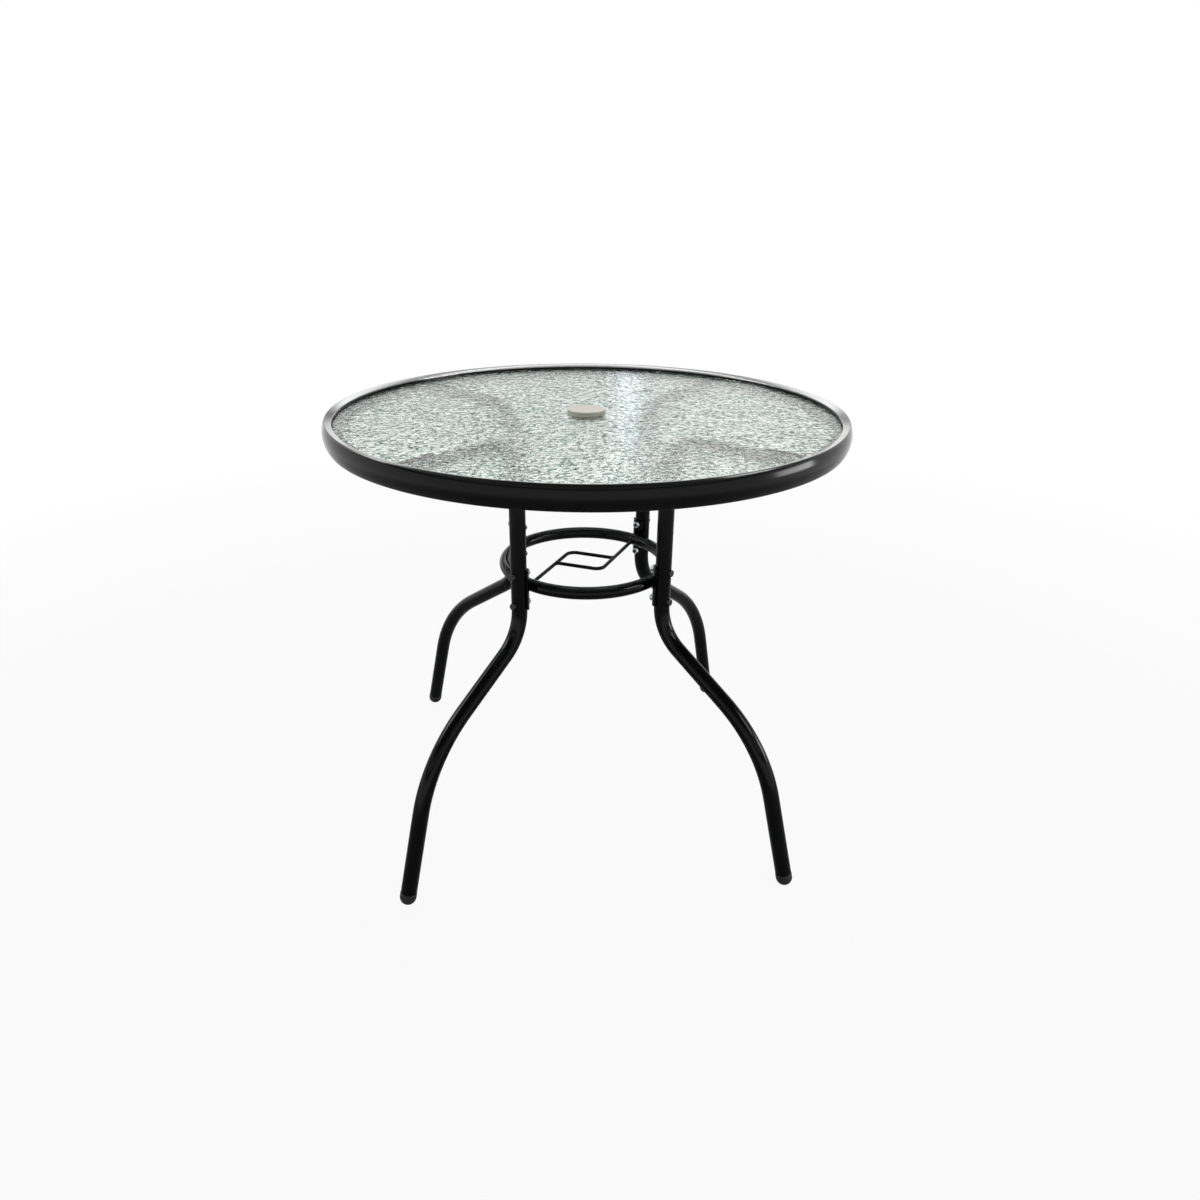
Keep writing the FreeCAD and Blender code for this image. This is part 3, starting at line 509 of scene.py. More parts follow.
# %% Tree: a tube along a path
def make_tube_tree():
    """A tree that sweeps a circle along the edges it is given."""
    tree, given = new_tree("bent_tube", {
        "Radius": ("Float", LEG_TUBE),
        "Sides": ("Int", 48),
        "Closed Ends": ("Bool", False),
        "Material": ("Material", None),
    })
    line = add_node(tree, "GeometryNodeMeshToCurve", {"Mesh": given["Geometry"]})
    section = add_node(tree, "GeometryNodeCurvePrimitiveCircle",
                       {"Resolution": given["Sides"], "Radius": given["Radius"]})
    tube = add_node(tree, "GeometryNodeCurveToMesh", {
        "Curve": line.outputs[0], "Profile Curve": section.outputs[0], "Fill Caps": given["Closed Ends"],
    })
    end_tree(tree, tube.outputs[0], given["Material"])
    return tree


tube_tree = make_tube_tree()
print("tree", tube_tree.name, "has", len(tube_tree.nodes), "nodes")

# %% Tree: weld ripples along a seam
def make_bead_tree():
    """A tree that sets small round ripples of slightly differing size along a seam."""
    tree, given = new_tree("weld_bead", {
        "Bead": ("Float", 1.3 * MM),
        "Spacing": ("Float", 1.2 * MM),
        "Seed": ("Int", 3),
        "Material": ("Material", None),
    })
    line = add_node(tree, "GeometryNodeMeshToCurve", {"Mesh": given["Geometry"]})
    drops = add_node(tree, "GeometryNodeResampleCurve",
                     {"Curve": line.outputs[0], "Length": given["Spacing"]}, mode="LENGTH")
    drop = add_node(tree, "GeometryNodeMeshIcoSphere", {"Radius": given["Bead"], "Subdivisions": 2})
    size = add_node(tree, "FunctionNodeRandomValue", {2: 0.82, 3: 1.12, "Seed": given["Seed"]},
                    data_type="FLOAT")
    row = add_node(tree, "GeometryNodeInstanceOnPoints", {
        "Points": drops.outputs[0], "Instance": drop.outputs[0], "Scale": size.outputs[1],
    })
    end_tree(tree, row.outputs[0], given["Material"])
    return tree


bead_tree = make_bead_tree()
print("tree", bead_tree.name, "has", len(bead_tree.nodes), "nodes")

# %% Tree: copies round the table
def make_round_tree():
    """A tree that repeats a piece at even turns about the table's axis."""
    tree, given = new_tree("round_the_table", {
        "Copies": ("Int", len(LEG_TURNS)),
        "First Turn": ("Float", math.radians(LEG_TURNS["rear_right"])),
        "Material": ("Material", None),
    })
    places = add_node(tree, "GeometryNodePoints", {"Count": given["Copies"]})
    share = add_node(tree, "ShaderNodeMath", {0: FULL, 1: given["Copies"]}, operation="DIVIDE")
    number = add_node(tree, "GeometryNodeInputIndex")
    turn = add_node(tree, "ShaderNodeMath", {
        0: number.outputs[0], 1: share.outputs[0], 2: given["First Turn"],
    }, operation="MULTIPLY_ADD")
    about_z = add_node(tree, "FunctionNodeAxisAngleToRotation", {"Axis": (0, 0, 1), "Angle": turn.outputs[0]})
    copies = add_node(tree, "GeometryNodeInstanceOnPoints", {
        "Points": places.outputs[0], "Instance": given["Geometry"], "Rotation": about_z.outputs[0],
    })
    end_tree(tree, copies.outputs[0], given["Material"])
    return tree


round_tree = make_round_tree()
print("tree", round_tree.name, "has", len(round_tree.nodes), "nodes")

# %% [markdown]
# ## Finishing a piece
#
# Smooth shading makes a ring of flats look round, but a folded or sheared edge has to stay crisp,
# so edges that turn by more than a set angle are marked sharp. Then the piece is given to the
# body it belongs to, and the plain solid that it stands for is hidden.

# %% Crisp edges, material and body
def dress(piece, material, crisp=32):
    """Give a piece its one material and shade it smooth, save at edges sharper than this."""
    piece.data.materials.clear()
    piece.data.materials.append(material)
    piece.data.shade_smooth()
    piece.data.set_sharp_from_angle(angle=math.radians(crisp))
    return piece


def keep(piece, slot, *nodes, body="table"):
    """Fix a finished piece to its body and stand it in for its solids. The slot, its finish's name, is not
    used.
    """
    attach(piece, body)
    if nodes:
        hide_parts(*nodes)
    print(f"{piece.name}: {len(piece.data.polygons)} faces, stands for {list(nodes)}")
    return piece


def turn_to_leg(piece, place):
    """Turn a piece drawn along +X to one leg's direction."""
    piece.data.transform(Matrix.Rotation(math.radians(LEG_TURNS[place]), 4, "Z"))
    return piece


# %% [markdown]
# ## The rim
#
# A strip of 1.2 mm steel is rolled to a hoop with a section like a shelf: a flange that the legs
# bolt to, a ledge for the glass, a lip round its edge, a top band that climbs outward to a crease,
# and an apron that bulges and turns under. The folds are small, and they catch the light.

# %% Rim hoop
SHEET = 1.2 * MM
CREASE = 1.6 * MM
BAND_SLOPE = 17
BULGE = 34 * MM
BULGE_DROP = 16 * MM
APRON_RETURN = 7 * MM
FLANGE_DEPTH = 20 * MM
FOLD_OUTSIDE = 1.1 * MM
FOLD_INSIDE = 0.3 * MM


def rim_section():
    """The strip's outline. The crease's arc runs smoothly into the apron's and into the band."""
    bulge = (RIM_RADIUS - BULGE, RIM_TOP - BULGE_DROP)
    rise = BULGE_DROP - CREASE
    run = math.sqrt((BULGE - CREASE) ** 2 - rise ** 2)
    crease = (bulge[0] + run, RIM_TOP - CREASE)
    meet = math.degrees(math.atan2(rise, run))

    def foot_angle(curve, height):
        """Where an arc about the bulge's centre comes down to a height, in degrees."""
        return math.degrees(math.asin((height - bulge[1]) / curve))

    def band_height(start, radius):
        """How high the sloping band is at a radius further in."""
        return start[1] - (start[0] - radius) * math.tan(math.radians(BAND_SLOPE))

    outside = arc(crease, CREASE, 90 + BAND_SLOPE, meet, step=10)
    outside += arc(bulge, BULGE, meet, foot_angle(BULGE, RIM_FOOT))[1:]
    inside = arc(bulge, BULGE - SHEET, foot_angle(BULGE - SHEET, RIM_FOOT + SHEET), meet, step=8)
    inside += arc(crease, CREASE - SHEET, meet, 90 + BAND_SLOPE, step=30)[1:]
    foot = outside[-1]
    flange_foot = LEDGE_TOP - FLANGE_DEPTH
    return rounded([
        (FLANGE_RADIUS, flange_foot, FOLD_INSIDE),
        (FLANGE_RADIUS, LEDGE_TOP, FOLD_OUTSIDE),
        (LIP_RADIUS, LEDGE_TOP, FOLD_INSIDE),
        (LIP_RADIUS, band_height(outside[0], LIP_RADIUS), FOLD_OUTSIDE),
        *[(*point, 0) for point in outside[:-1]],
        (*foot, FOLD_OUTSIDE),
        (foot[0] - APRON_RETURN, RIM_FOOT, FOLD_INSIDE),
        (foot[0] - APRON_RETURN, RIM_FOOT + SHEET, FOLD_INSIDE),
        *[(*point, 0) for point in inside],
        (LIP_RADIUS + SHEET, band_height(inside[-1], LIP_RADIUS + SHEET), FOLD_INSIDE),
        (LIP_RADIUS + SHEET, LEDGE_TOP - SHEET, FOLD_INSIDE),
        (FLANGE_RADIUS + SHEET, LEDGE_TOP - SHEET, FOLD_INSIDE),
        (FLANGE_RADIUS + SHEET, flange_foot, FOLD_INSIDE),
    ])


rim = dress(turned("rim", rim_section(), count=256), powder_coat)
keep(rim, "black_paint", "rim_hoop")

# %% [markdown]
# ## The glass top
#
# The sheet is 5 mm thick with ground edges and a hole drilled before toughening. Its waves are
# about 14 mm wide and half a millimetre deep. A bump alone would vanish at the edge and bend no
# light, so a node tree lowers real points by a noise pattern. The rings of points keep an even
# spacing that is fine enough for the waves and no finer.

# %% Tree: ripples in the glass
def make_ripple_tree():
    """A tree that lowers the points of a surface by up to its depth, in waves of its width."""
    tree, given = new_tree("ripples", {
        "Depth": ("Float", 0.5 * MM),
        "Width": ("Float", WAVE_WIDTH),
        "Surface": ("Float", 0.0),
        "Seed": ("Float", 2.0),
        "Material": ("Material", None),
    })
    place = add_node(tree, "GeometryNodeInputPosition")
    height = add_node(tree, "ShaderNodeSeparateXYZ", {0: place.outputs[0]})
    margin = add_node(tree, "ShaderNodeMath", {0: given["Surface"], 1: 0.01 * MM}, operation="SUBTRACT")
    on_top = add_node(tree, "FunctionNodeCompare", {0: height.outputs["Z"], 1: margin.outputs[0]},
                      data_type="FLOAT", operation="GREATER_THAN")
    scale = add_node(tree, "ShaderNodeMath", {0: 1.0, 1: given["Width"]}, operation="DIVIDE")
    waves = add_node(tree, "ShaderNodeTexNoise", {
        "Vector": place.outputs[0], "W": given["Seed"], "Scale": scale.outputs[0], "Detail": 1.5,
        "Roughness": 0.4, "Distortion": 0.5,
    }, noise_dimensions="4D")
    level = add_node(tree, "ShaderNodeMapRange", {0: waves.outputs[0], 1: 0.3, 2: 0.7, 3: -1.0, 4: 0.0})
    drop = add_node(tree, "ShaderNodeMath", {0: level.outputs[0], 1: given["Depth"]}, operation="MULTIPLY")
    shift = add_node(tree, "ShaderNodeCombineXYZ", {"Z": drop.outputs[0]})
    rippled = add_node(tree, "GeometryNodeSetPosition", {
        "Geometry": given["Geometry"], "Selection": on_top.outputs[0], "Offset": shift.outputs[0],
    })
    end_tree(tree, rippled.outputs[0], given["Material"])
    return tree


ripple_tree = make_ripple_tree()
print("tree", ripple_tree.name, "has", len(ripple_tree.nodes), "nodes")

# %% Glass top
GLASS_RADIUS = glass_high.x
GLASS_HOLE = 25 * MM
EDGE_EASE = 0.9 * MM
POINT_SPACING = 2.6 * MM


def spread(radius):
    """How many points keep the chosen spacing on a ring of this radius."""
    return max(24, round(FULL * radius / POINT_SPACING))


def glass_rings():
    """Rings out over the top, down the ground edge, in under the sheet and up the hole."""
    top, bottom = glass_high.z, glass_low.z
    inner, outer = GLASS_HOLE, GLASS_RADIUS - EDGE_EASE
    count = round((outer - inner) / POINT_SPACING)
    radii = [inner + (outer - inner) * k / count for k in range(count + 1)]
    rings = [ring(radius, top, spread(radius)) for radius in radii]
    edge = spread(outer)
    rings.append(ring(GLASS_RADIUS, top - EDGE_EASE, edge))
    rings.append(ring(GLASS_RADIUS, bottom + EDGE_EASE, edge))
    rings.append(ring(outer, bottom, edge))
    rings += [ring(radius, bottom, spread(radius) // 4) for radius in (0.3, 0.2, 0.1)]
    rings.append(ring(inner, bottom, spread(inner)))
    return rings


glass = skin("glass", glass_rings())
grow(glass, ripple_tree, {"Surface": glass_high.z, "Material": rippled_glass})
keep(dress(glass, rippled_glass), "rippled_glass", "glass_top")

# %% Soft dots between the glass and the ledge
PAD_COUNT = 8
PAD_RADIUS = 4.5 * MM
pad_middle = LIP_RADIUS - LEDGE_WIDTH / 2
pads = turned("glass_dots", rounded([
    (0, LEDGE_TOP, 0),
    (PAD_RADIUS, LEDGE_TOP, 0.3 * MM),
    (PAD_RADIUS, glass_low.z, 0.5 * MM),
    (0, glass_low.z, 0),
]), count=32)
pads.data.transform(Matrix.Translation((pad_middle, 0, 0)))
grow(pads, round_tree, {"Copies": PAD_COUNT, "First Turn": FULL / PAD_COUNT / 2, "Material": clear_vinyl})
keep(dress(pads, clear_vinyl), "clear_rubber", "glass_pads")

# %% [markdown]
# ## Grommet and cap
#
# The grommet protects the edge of the glass from the pole. Its flange lies on the glass and its
# sleeve passes through the hole. The cap is a thin moulding with a soft round edge and a top
# that sinks a little in the middle, as flat mouldings do when they cool.

# %% Grommet
BORE = 19.5 * MM
SLEEVE = GLASS_HOLE - 0.4 * MM
RECESS = 22.3 * MM
RECESS_DEPTH = 4 * MM
FLANGE = grommet_high.x
recess_floor = grommet_high.z - RECESS_DEPTH
grommet = turned("grommet", rounded([
    (BORE, grommet_low.z, 0.5 * MM),
    (SLEEVE, grommet_low.z, 0.8 * MM),
    (SLEEVE, glass_high.z, 0),
    (FLANGE, glass_high.z, 0.2 * MM),
    (FLANGE, grommet_high.z, 1.1 * MM),
    (RECESS, grommet_high.z, 0.4 * MM),
    (RECESS, recess_floor, 0),
    (BORE, recess_floor, 0.4 * MM),
]), count=128)
keep(dress(grommet, ivory_plastic), "ivory_plastic", "umbrella_grommet")

# %% Cap
CAP_WALL = 2 * MM
CAP_DISH = 0.5 * MM
CAP_EDGE = 2 * MM
CAP_PLAY = 0.3 * MM
PLUG = 22 * MM
cap_radius = cap_high.x
cap_seat = grommet_high.z + CAP_PLAY
ceiling = cap_high.z - CAP_WALL
cap = turned("cap", rounded([
    (0, cap_high.z - CAP_DISH, 0),
    (cap_radius * 0.4, cap_high.z - CAP_DISH * 0.8, 0),
    (cap_radius * 0.7, cap_high.z - CAP_DISH * 0.25, 0),
    (cap_radius - CAP_EDGE * 1.8, cap_high.z, 0),
    (cap_radius, cap_high.z, CAP_EDGE),
    (cap_radius, cap_seat, 0.4 * MM),
    (cap_radius - CAP_WALL, cap_seat, 0.3 * MM),
    (cap_radius - CAP_WALL, ceiling, 0.3 * MM),
    (PLUG, ceiling, 0.3 * MM),
    (PLUG, cap_low.z, 0.5 * MM),
    (PLUG - CAP_WALL, cap_low.z, 0.3 * MM),
    (PLUG - CAP_WALL, ceiling, 0.3 * MM),
    (0, ceiling, 0),
]), count=128)
keep(dress(cap, ivory_plastic), "ivory_plastic", "umbrella_cap", body="cap")

# %% [markdown]
# ## Legs
#
# Each leg is one length of 25 mm tube. A bender gives it a shoulder under the glass, a tight knee
# below the hoop and a long easy ankle. The centre line is straight runs joined by tangent arcs,
# so a path of points round those arcs is all that the tube tree needs.

# %% Centre line of a leg
SHOULDER_BEND = 60 * MM
KNEE_HEIGHT = 408.6 * MM
KNEE_BEND = 80.3 * MM
KNEE_ANGLE = 56.1
SHIN = 109.1 * MM
ANKLE_BEND = 238.4 * MM
FOOT_ANGLE = 15.4
FOOT_RADIUS = 12.9 * MM
FOOT_RISE = 7 * MM
FOOT_FLAT = 0.8 * MM
FOOT_CENTRE_HEIGHT = FOOT_RADIUS - FOOT_FLAT


def beside(point, distance, angle):
    """The point this far away in a direction given in degrees."""
    turn = math.radians(angle)
    return (point[0] + distance * math.cos(turn), point[1] + distance * math.sin(turn))


def leg_line():
    """Points of (out, up) from the arm's end to the tube's foot, and the foot's centre."""
    shoulder = (LEG_CIRCLE + SHOULDER_BEND, ARM_HEIGHT - SHOULDER_BEND)
    knee = (LEG_CIRCLE + KNEE_BEND, KNEE_HEIGHT)
    knee_end = beside(knee, KNEE_BEND, 180 + KNEE_ANGLE)
    shin_end = beside(knee_end, SHIN, KNEE_ANGLE - 90)
    ankle = beside(shin_end, -ANKLE_BEND, KNEE_ANGLE)
    ankle_end = beside(ankle, ANKLE_BEND, FOOT_ANGLE)
    fall = ankle_end[1] - FOOT_CENTRE_HEIGHT
    foot = (ankle_end[0] + fall * math.tan(math.radians(FOOT_ANGLE)), FOOT_CENTRE_HEIGHT)
    tube_end = beside(foot, FOOT_RISE, FOOT_ANGLE + 90)
    line = [(ARM_END, ARM_HEIGHT)]
    line += arc(shoulder, SHOULDER_BEND, 90, 180)
    line += arc(knee, KNEE_BEND, 180, 180 + KNEE_ANGLE)
    line += arc(ankle, ANKLE_BEND, KNEE_ANGLE, FOOT_ANGLE, step=2)
    line.append(tube_end)
    return line, foot


def path(name, points, closed=False):
    """A chain of edges through the points, for a tree to follow."""
    count = len(points)
    edges = [(k, (k + 1) % count) for k in range(count if closed else count - 1)]
    mesh = bpy.data.meshes.new(name)
    mesh.from_pydata(points, edges, [])
    made = bpy.data.objects.new(name, mesh)
    bpy.context.scene.collection.objects.link(made)
    return made


leg_points, foot_centre = leg_line()
print("leg line has", len(leg_points), "points; foot at", [round(v / MM, 1) for v in foot_centre])

# %% Four legs
for place in LEG_TURNS:
    leg = path(f"tube_{place}", [(out, 0, up) for out, up in leg_points])
    grow(leg, tube_tree, {"Radius": LEG_TUBE, "Sides": 48, "Material": powder_coat})
    wall = leg.modifiers.new("wall", "SOLIDIFY")
    wall.thickness = LEG_WALL
    wall.offset = -1
    bake(leg)
    turn_to_leg(leg, place)
    keep(dress(leg, powder_coat), "black_paint", f"leg_{place}")

# %% [markdown]
# ## Feet and plugs
#
# A black plastic foot closes each tube's lower end and keeps it off the stone. Its round end is
# worn to a small level flat. A flat plug closes the arm's end up under the glass.

# %% Feet
FOOT_STEM = LEG_TUBE - LEG_WALL - 0.25 * MM
FOOT_STEM_LENGTH = 20 * MM
FOOT_SHOULDER = 0.8 * MM


def cut_level(piece):
    """Cut a piece off at the floor and close the cut with a face."""
    work = bmesh.new()
    work.from_mesh(piece.data)
    everything = work.verts[:] + work.edges[:] + work.faces[:]
    cut = bmesh.ops.bisect_plane(
        work, geom=everything, plane_co=(0, 0, 0), plane_no=(0, 0, 1), clear_inner=True,
    )
    rim_edges = [part for part in cut["geom_cut"] if isinstance(part, bmesh.types.BMEdge)]
    bmesh.ops.edgeloop_fill(work, edges=rim_edges)
    bmesh.ops.recalc_face_normals(work, faces=work.faces)
    work.to_mesh(piece.data)
    work.free()


ball = arc((0, 0), FOOT_RADIUS, -90, 0, step=6)
feet = turned("feet", [
    *[(max(0, out), up) for out, up in ball],
    *arc((FOOT_RADIUS - FOOT_SHOULDER, FOOT_RISE - FOOT_SHOULDER), FOOT_SHOULDER, 0, 90, step=22),
    (FOOT_STEM, FOOT_RISE),
    (FOOT_STEM, FOOT_RISE + FOOT_STEM_LENGTH),
    (0, FOOT_RISE + FOOT_STEM_LENGTH),
], count=64)
tilt = Matrix.Rotation(-math.radians(FOOT_ANGLE), 4, "Y")
feet.data.transform(Matrix.Translation((foot_centre[0], 0, foot_centre[1])) @ tilt)
cut_level(feet)
grow(feet, round_tree, {"Material": black_plastic})
keep(dress(feet, black_plastic), "black_plastic", "foot_caps")

# %% Plugs in the arms
PLUG_HEAD = 1.8 * MM
PLUG_STEM = 7 * MM
Z_TO_X = Matrix.Rotation(math.radians(90), 4, "Y")
plugs = turned("arm_plugs", rounded([
    (0, -PLUG_STEM, 0),
    (FOOT_STEM, -PLUG_STEM, 0.4 * MM),
    (FOOT_STEM, 0, 0),
    (LEG_TUBE, 0, 0.2 * MM),
    (LEG_TUBE, PLUG_HEAD, 0.8 * MM),
    (0, PLUG_HEAD, 0),
]), count=48)
plugs.data.transform(Matrix.Translation((ARM_END, 0, ARM_HEIGHT)) @ Z_TO_X)
grow(plugs, round_tree, {"Material": black_plastic})
keep(dress(plugs, black_plastic), "black_plastic", "end_plugs")

# %% [markdown]
# ## Saddle plates
#
# A saddle is a stamped plate bent round the tube. It spreads the bolts' pull and gives the hoop
# and the rim something broad to be welded to. The plate is drawn as slices of its bent section.
# Each slice near an end is narrower, which rounds the corners, and a small bevel eases the edges.

# %% A saddle plate
HOOP_PLATE_WRAP = 160
RIM_PLATE_WRAP = 176
SADDLE_CORNER = 4 * MM
SADDLE_EASE = 0.35 * MM
SLICE_POINTS = 25


def corner_slices(radius, steps=6):
    """How far in from an end, and how much narrower, each slice of a rounded corner is."""
    angles = [math.radians(90 * k / steps) for k in range(steps + 1)]
    return [(radius * (1 - math.sin(a)), radius * (1 - math.cos(a))) for a in reversed(angles)]


def saddle(name, length, full_wrap, square_end=False):
    """A plate bent round the Z axis, open towards +X, from height 0 to its length."""
    half_width = SADDLE_OUTSIDE * math.radians(full_wrap) / 2
    start = [(inset, narrow) for inset, narrow in corner_slices(SADDLE_CORNER)]
    end = [(length, 0)] if square_end else [(length - inset, narrow) for inset, narrow in reversed(start)]
    points, faces = [], []
    for height, narrow in start + end:
        wrap = full_wrap / 2 * (1 - narrow / half_width)
        angles = [math.radians(180 - wrap + 2 * wrap * k / (SLICE_POINTS - 1)) for k in range(SLICE_POINTS)]
        for radius, turns in ((SADDLE_OUTSIDE, angles), (SADDLE_INSIDE, reversed(angles))):
            points += [(radius * math.cos(a), radius * math.sin(a), height) for a in turns]
    loop = 2 * SLICE_POINTS
    slices = len(points) // loop
    for row in range(slices - 1):
        for k in range(loop):
            here, ahead = row * loop + k, row * loop + (k + 1) % loop
            faces.append((here, ahead, ahead + loop, here + loop))
    for first in (0, (slices - 1) * loop):
        for k in range(SLICE_POINTS - 1):
            inner = loop - 1 - k
            faces.append((first + k, first + k + 1, first + inner - 1, first + inner))
    plate = solid(name, points, faces)
    ease = plate.modifiers.new("eased_edges", "BEVEL")
    ease.width = SADDLE_EASE
    ease.segments = 2
    ease.angle_limit = math.radians(50)
    return bake(plate)


# %% Plates between the hoop and the legs
BRACE_SADDLE_LENGTH = 65 * MM
for place in LEG_TURNS:
    plate = saddle(f"hoop_plate_{place}", BRACE_SADDLE_LENGTH, HOOP_PLATE_WRAP)
    plate.data.transform(Matrix.Translation((LEG_CIRCLE, 0, BRACE_HEIGHT - BRACE_SADDLE_LENGTH / 2)))
    turn_to_leg(plate, place)
    keep(dress(plate, powder_coat), "black_paint", f"brace_saddle_{place}")

# %% Plates between the rim and the arms
RIM_SADDLE_LENGTH = 60 * MM
rim_saddle_reach = math.sqrt(FLANGE_RADIUS ** 2 - SADDLE_OUTSIDE ** 2) - PAINT_GAP
open_upwards = Matrix.Rotation(math.radians(-90), 4, "X") @ Matrix.Rotation(math.radians(90), 4, "Z")
along_x = Matrix.Rotation(math.radians(-90), 4, "Z")
start = Matrix.Translation((rim_saddle_reach - RIM_SADDLE_LENGTH, 0, ARM_HEIGHT))
for place in LEG_TURNS:
    plate = saddle(f"rim_plate_{place}", RIM_SADDLE_LENGTH, RIM_PLATE_WRAP, square_end=True)
    plate.data.transform(start @ along_x @ open_upwards)
    turn_to_leg(plate, place)
    keep(dress(plate, powder_coat), "black_paint", f"rim_saddle_{place}")

# %% [markdown]
# ## Hoop and guide rods
#
# The hoop is 20 mm tube rolled into a ring. Two 6 mm rods, each with one bend, cross it in an S
# and leave a small window under the parasol hole. Each rod runs into the hoop at one end and
# into its twin at the other.

# %% Hoop
HOOP_STEPS = 160
hoop = path("hoop", ring(BRACE_RING, BRACE_HEIGHT, HOOP_STEPS), closed=True)
grow(hoop, tube_tree, {"Radius": BRACE_TUBE, "Sides": 40, "Material": powder_coat})
keep(dress(hoop, powder_coat), "black_paint", "brace_ring")

# %% Guide rods
ROD = 3 * MM
LONG_OFFSET = 39.5 * MM
SHORT_OFFSET = 27.6 * MM
ROD_BEND = 15 * MM
ROD_CORNER = 87
ROD_TURNS = {"guide_rod_left": -28, "guide_rod_right": 152}
SUNK = 1.5 * MM


def rod_line():
    """Points of (across, along) of one rod, from the hoop to its twin."""
    slant = math.radians(90 - ROD_CORNER)
    trim = ROD_BEND * math.tan(math.radians(ROD_CORNER / 2))
    corner = (-LONG_OFFSET, SHORT_OFFSET / math.cos(slant) - LONG_OFFSET * math.tan(slant))
    hoop_side = BRACE_RING - BRACE_TUBE + SUNK
    line = [(-LONG_OFFSET, -math.sqrt(hoop_side ** 2 - LONG_OFFSET ** 2))]
    line += arc((-LONG_OFFSET + ROD_BEND, corner[1] - trim), ROD_BEND, 180, 180 - ROD_CORNER, step=4)
    reach = LONG_OFFSET - ROD
    line.append((reach, corner[1] + (reach - corner[0]) * math.tan(slant)))
    return line


rod_points = rod_line()
for node, turn in ROD_TURNS.items():
    rod = path(node.replace("guide_rod", "pole_guide"), [(x, y, BRACE_HEIGHT) for x, y in rod_points])
    grow(rod, tube_tree, {"Radius": ROD, "Sides": 24, "Closed Ends": True, "Material": powder_coat})
    rod.data.transform(Matrix.Rotation(math.radians(turn), 4, "Z"))
    keep(dress(rod, powder_coat), "black_paint", node)

# %% [markdown]
# ## Welds
#
# Every joint of the frame is a short weld, painted over with the rest. A welder's bead is a row of
# small overlapping ripples. The seams are worked out from the surfaces that meet there, and the
# bead tree sets the ripples along them.

# %% Seams
BEAD = 1.3 * MM
SMALL_BEAD = 0.6 * BEAD
SEAM_STEPS = 28
SEAM_WIDTH = 12.8 * MM
SEAM_HEIGHT = 10.8 * MM


def hoop_seam():
    """The loop round the spot where the hoop touches a saddle plate, drawn along +X."""
    loop = []
    for k in range(SEAM_STEPS):
        turn = FULL * k / SEAM_STEPS
        side, up = SEAM_WIDTH / 2 * math.cos(turn), SEAM_HEIGHT / 2 * math.sin(turn)
        plate_x = LEG_CIRCLE - math.sqrt(SADDLE_OUTSIDE ** 2 - side ** 2)
        hoop_reach = BRACE_RING + math.sqrt(BRACE_TUBE ** 2 - up ** 2)
        hoop_x = math.sqrt(hoop_reach ** 2 - side ** 2)
        loop.append(((plate_x + hoop_x) / 2, side, BRACE_HEIGHT + up))
    return loop


def rod_seams():
    """Loops round both ends of a guide rod, in the rod's own directions."""
    loops = ([], [])
    tip = rod_points[-1]
    radius = ROD + 0.4 * MM
    for k in range(SEAM_STEPS):
        turn = FULL * k / SEAM_STEPS
        side, up = radius * math.cos(turn), radius * math.sin(turn)
        across = -LONG_OFFSET + side
        hoop_side = BRACE_RING - math.sqrt(BRACE_TUBE ** 2 - up ** 2)
        loops[0].append((across, -math.sqrt(hoop_side ** 2 - across ** 2), BRACE_HEIGHT + up))
        twin_side = LONG_OFFSET - math.sqrt(max(0, ROD ** 2 - up ** 2))
        loops[1].append((min(twin_side, LONG_OFFSET - ROD / 2), tip[1] + side, BRACE_HEIGHT + up))
    return loops


def rim_seam():
    """The open line where a rim plate meets the flange, drawn along +X."""
    reach = SADDLE_OUTSIDE + 0.2 * MM
    line = []
    for side, up in arc((0, ARM_HEIGHT), reach, 270 - RIM_PLATE_WRAP / 2, 270 + RIM_PLATE_WRAP / 2, step=6):
        line.append((math.sqrt(FLANGE_RADIUS ** 2 - side ** 2) - 0.8 * MM, side, up))
    return line


print("seams:", len(hoop_seam()), "points at the hoop,", len(rim_seam()), "at the rim")

# %% Weld beads
def bead(name, seam, size, closed=True):
    """A row of weld ripples along a seam."""
    made = path(name, seam, closed=closed)
    return grow(made, bead_tree, {"Bead": size, "Spacing": size * 0.9, "Material": powder_coat})


def join(name, pieces):
    """Merge several pieces into the first, under a new name."""
    work = bmesh.new()
    for piece in pieces:
        work.from_mesh(piece.data)
    for piece in pieces[1:]:
        bpy.data.objects.remove(piece)
    work.to_mesh(pieces[0].data)
    work.free()
    pieces[0].name = name
    return pieces[0]


around = join("leg_welds", [
    bead("hoop_bead", hoop_seam(), BEAD),
    bead("rim_bead", rim_seam(), BEAD, closed=False),
])
grow(around, round_tree, {"Material": powder_coat})
rods = join("rod_welds", [bead(f"rod_bead_{k}", seam, SMALL_BEAD) for k, seam in enumerate(rod_seams())])
first_rod = math.radians(ROD_TURNS["guide_rod_left"])
grow(rods, round_tree, {"Copies": len(ROD_TURNS), "First Turn": first_rod, "Material": powder_coat})
keep(dress(join("weld_beads", [around, rods]), powder_coat, crisp=80), "black_paint")

# %% [markdown]
# ## Fasteners
#
# M6 hexagon bolts go through each upright into a nut on the plate, and shorter ones go up into
# threaded inserts in the arms. A real hexagon head is turned on its top, which leaves curved
# chamfers. The same rule makes the nuts: each point of the hexagon is cut back by how far it
# stands out past the flats. Only the last turns of the thread show, so only those are cut.

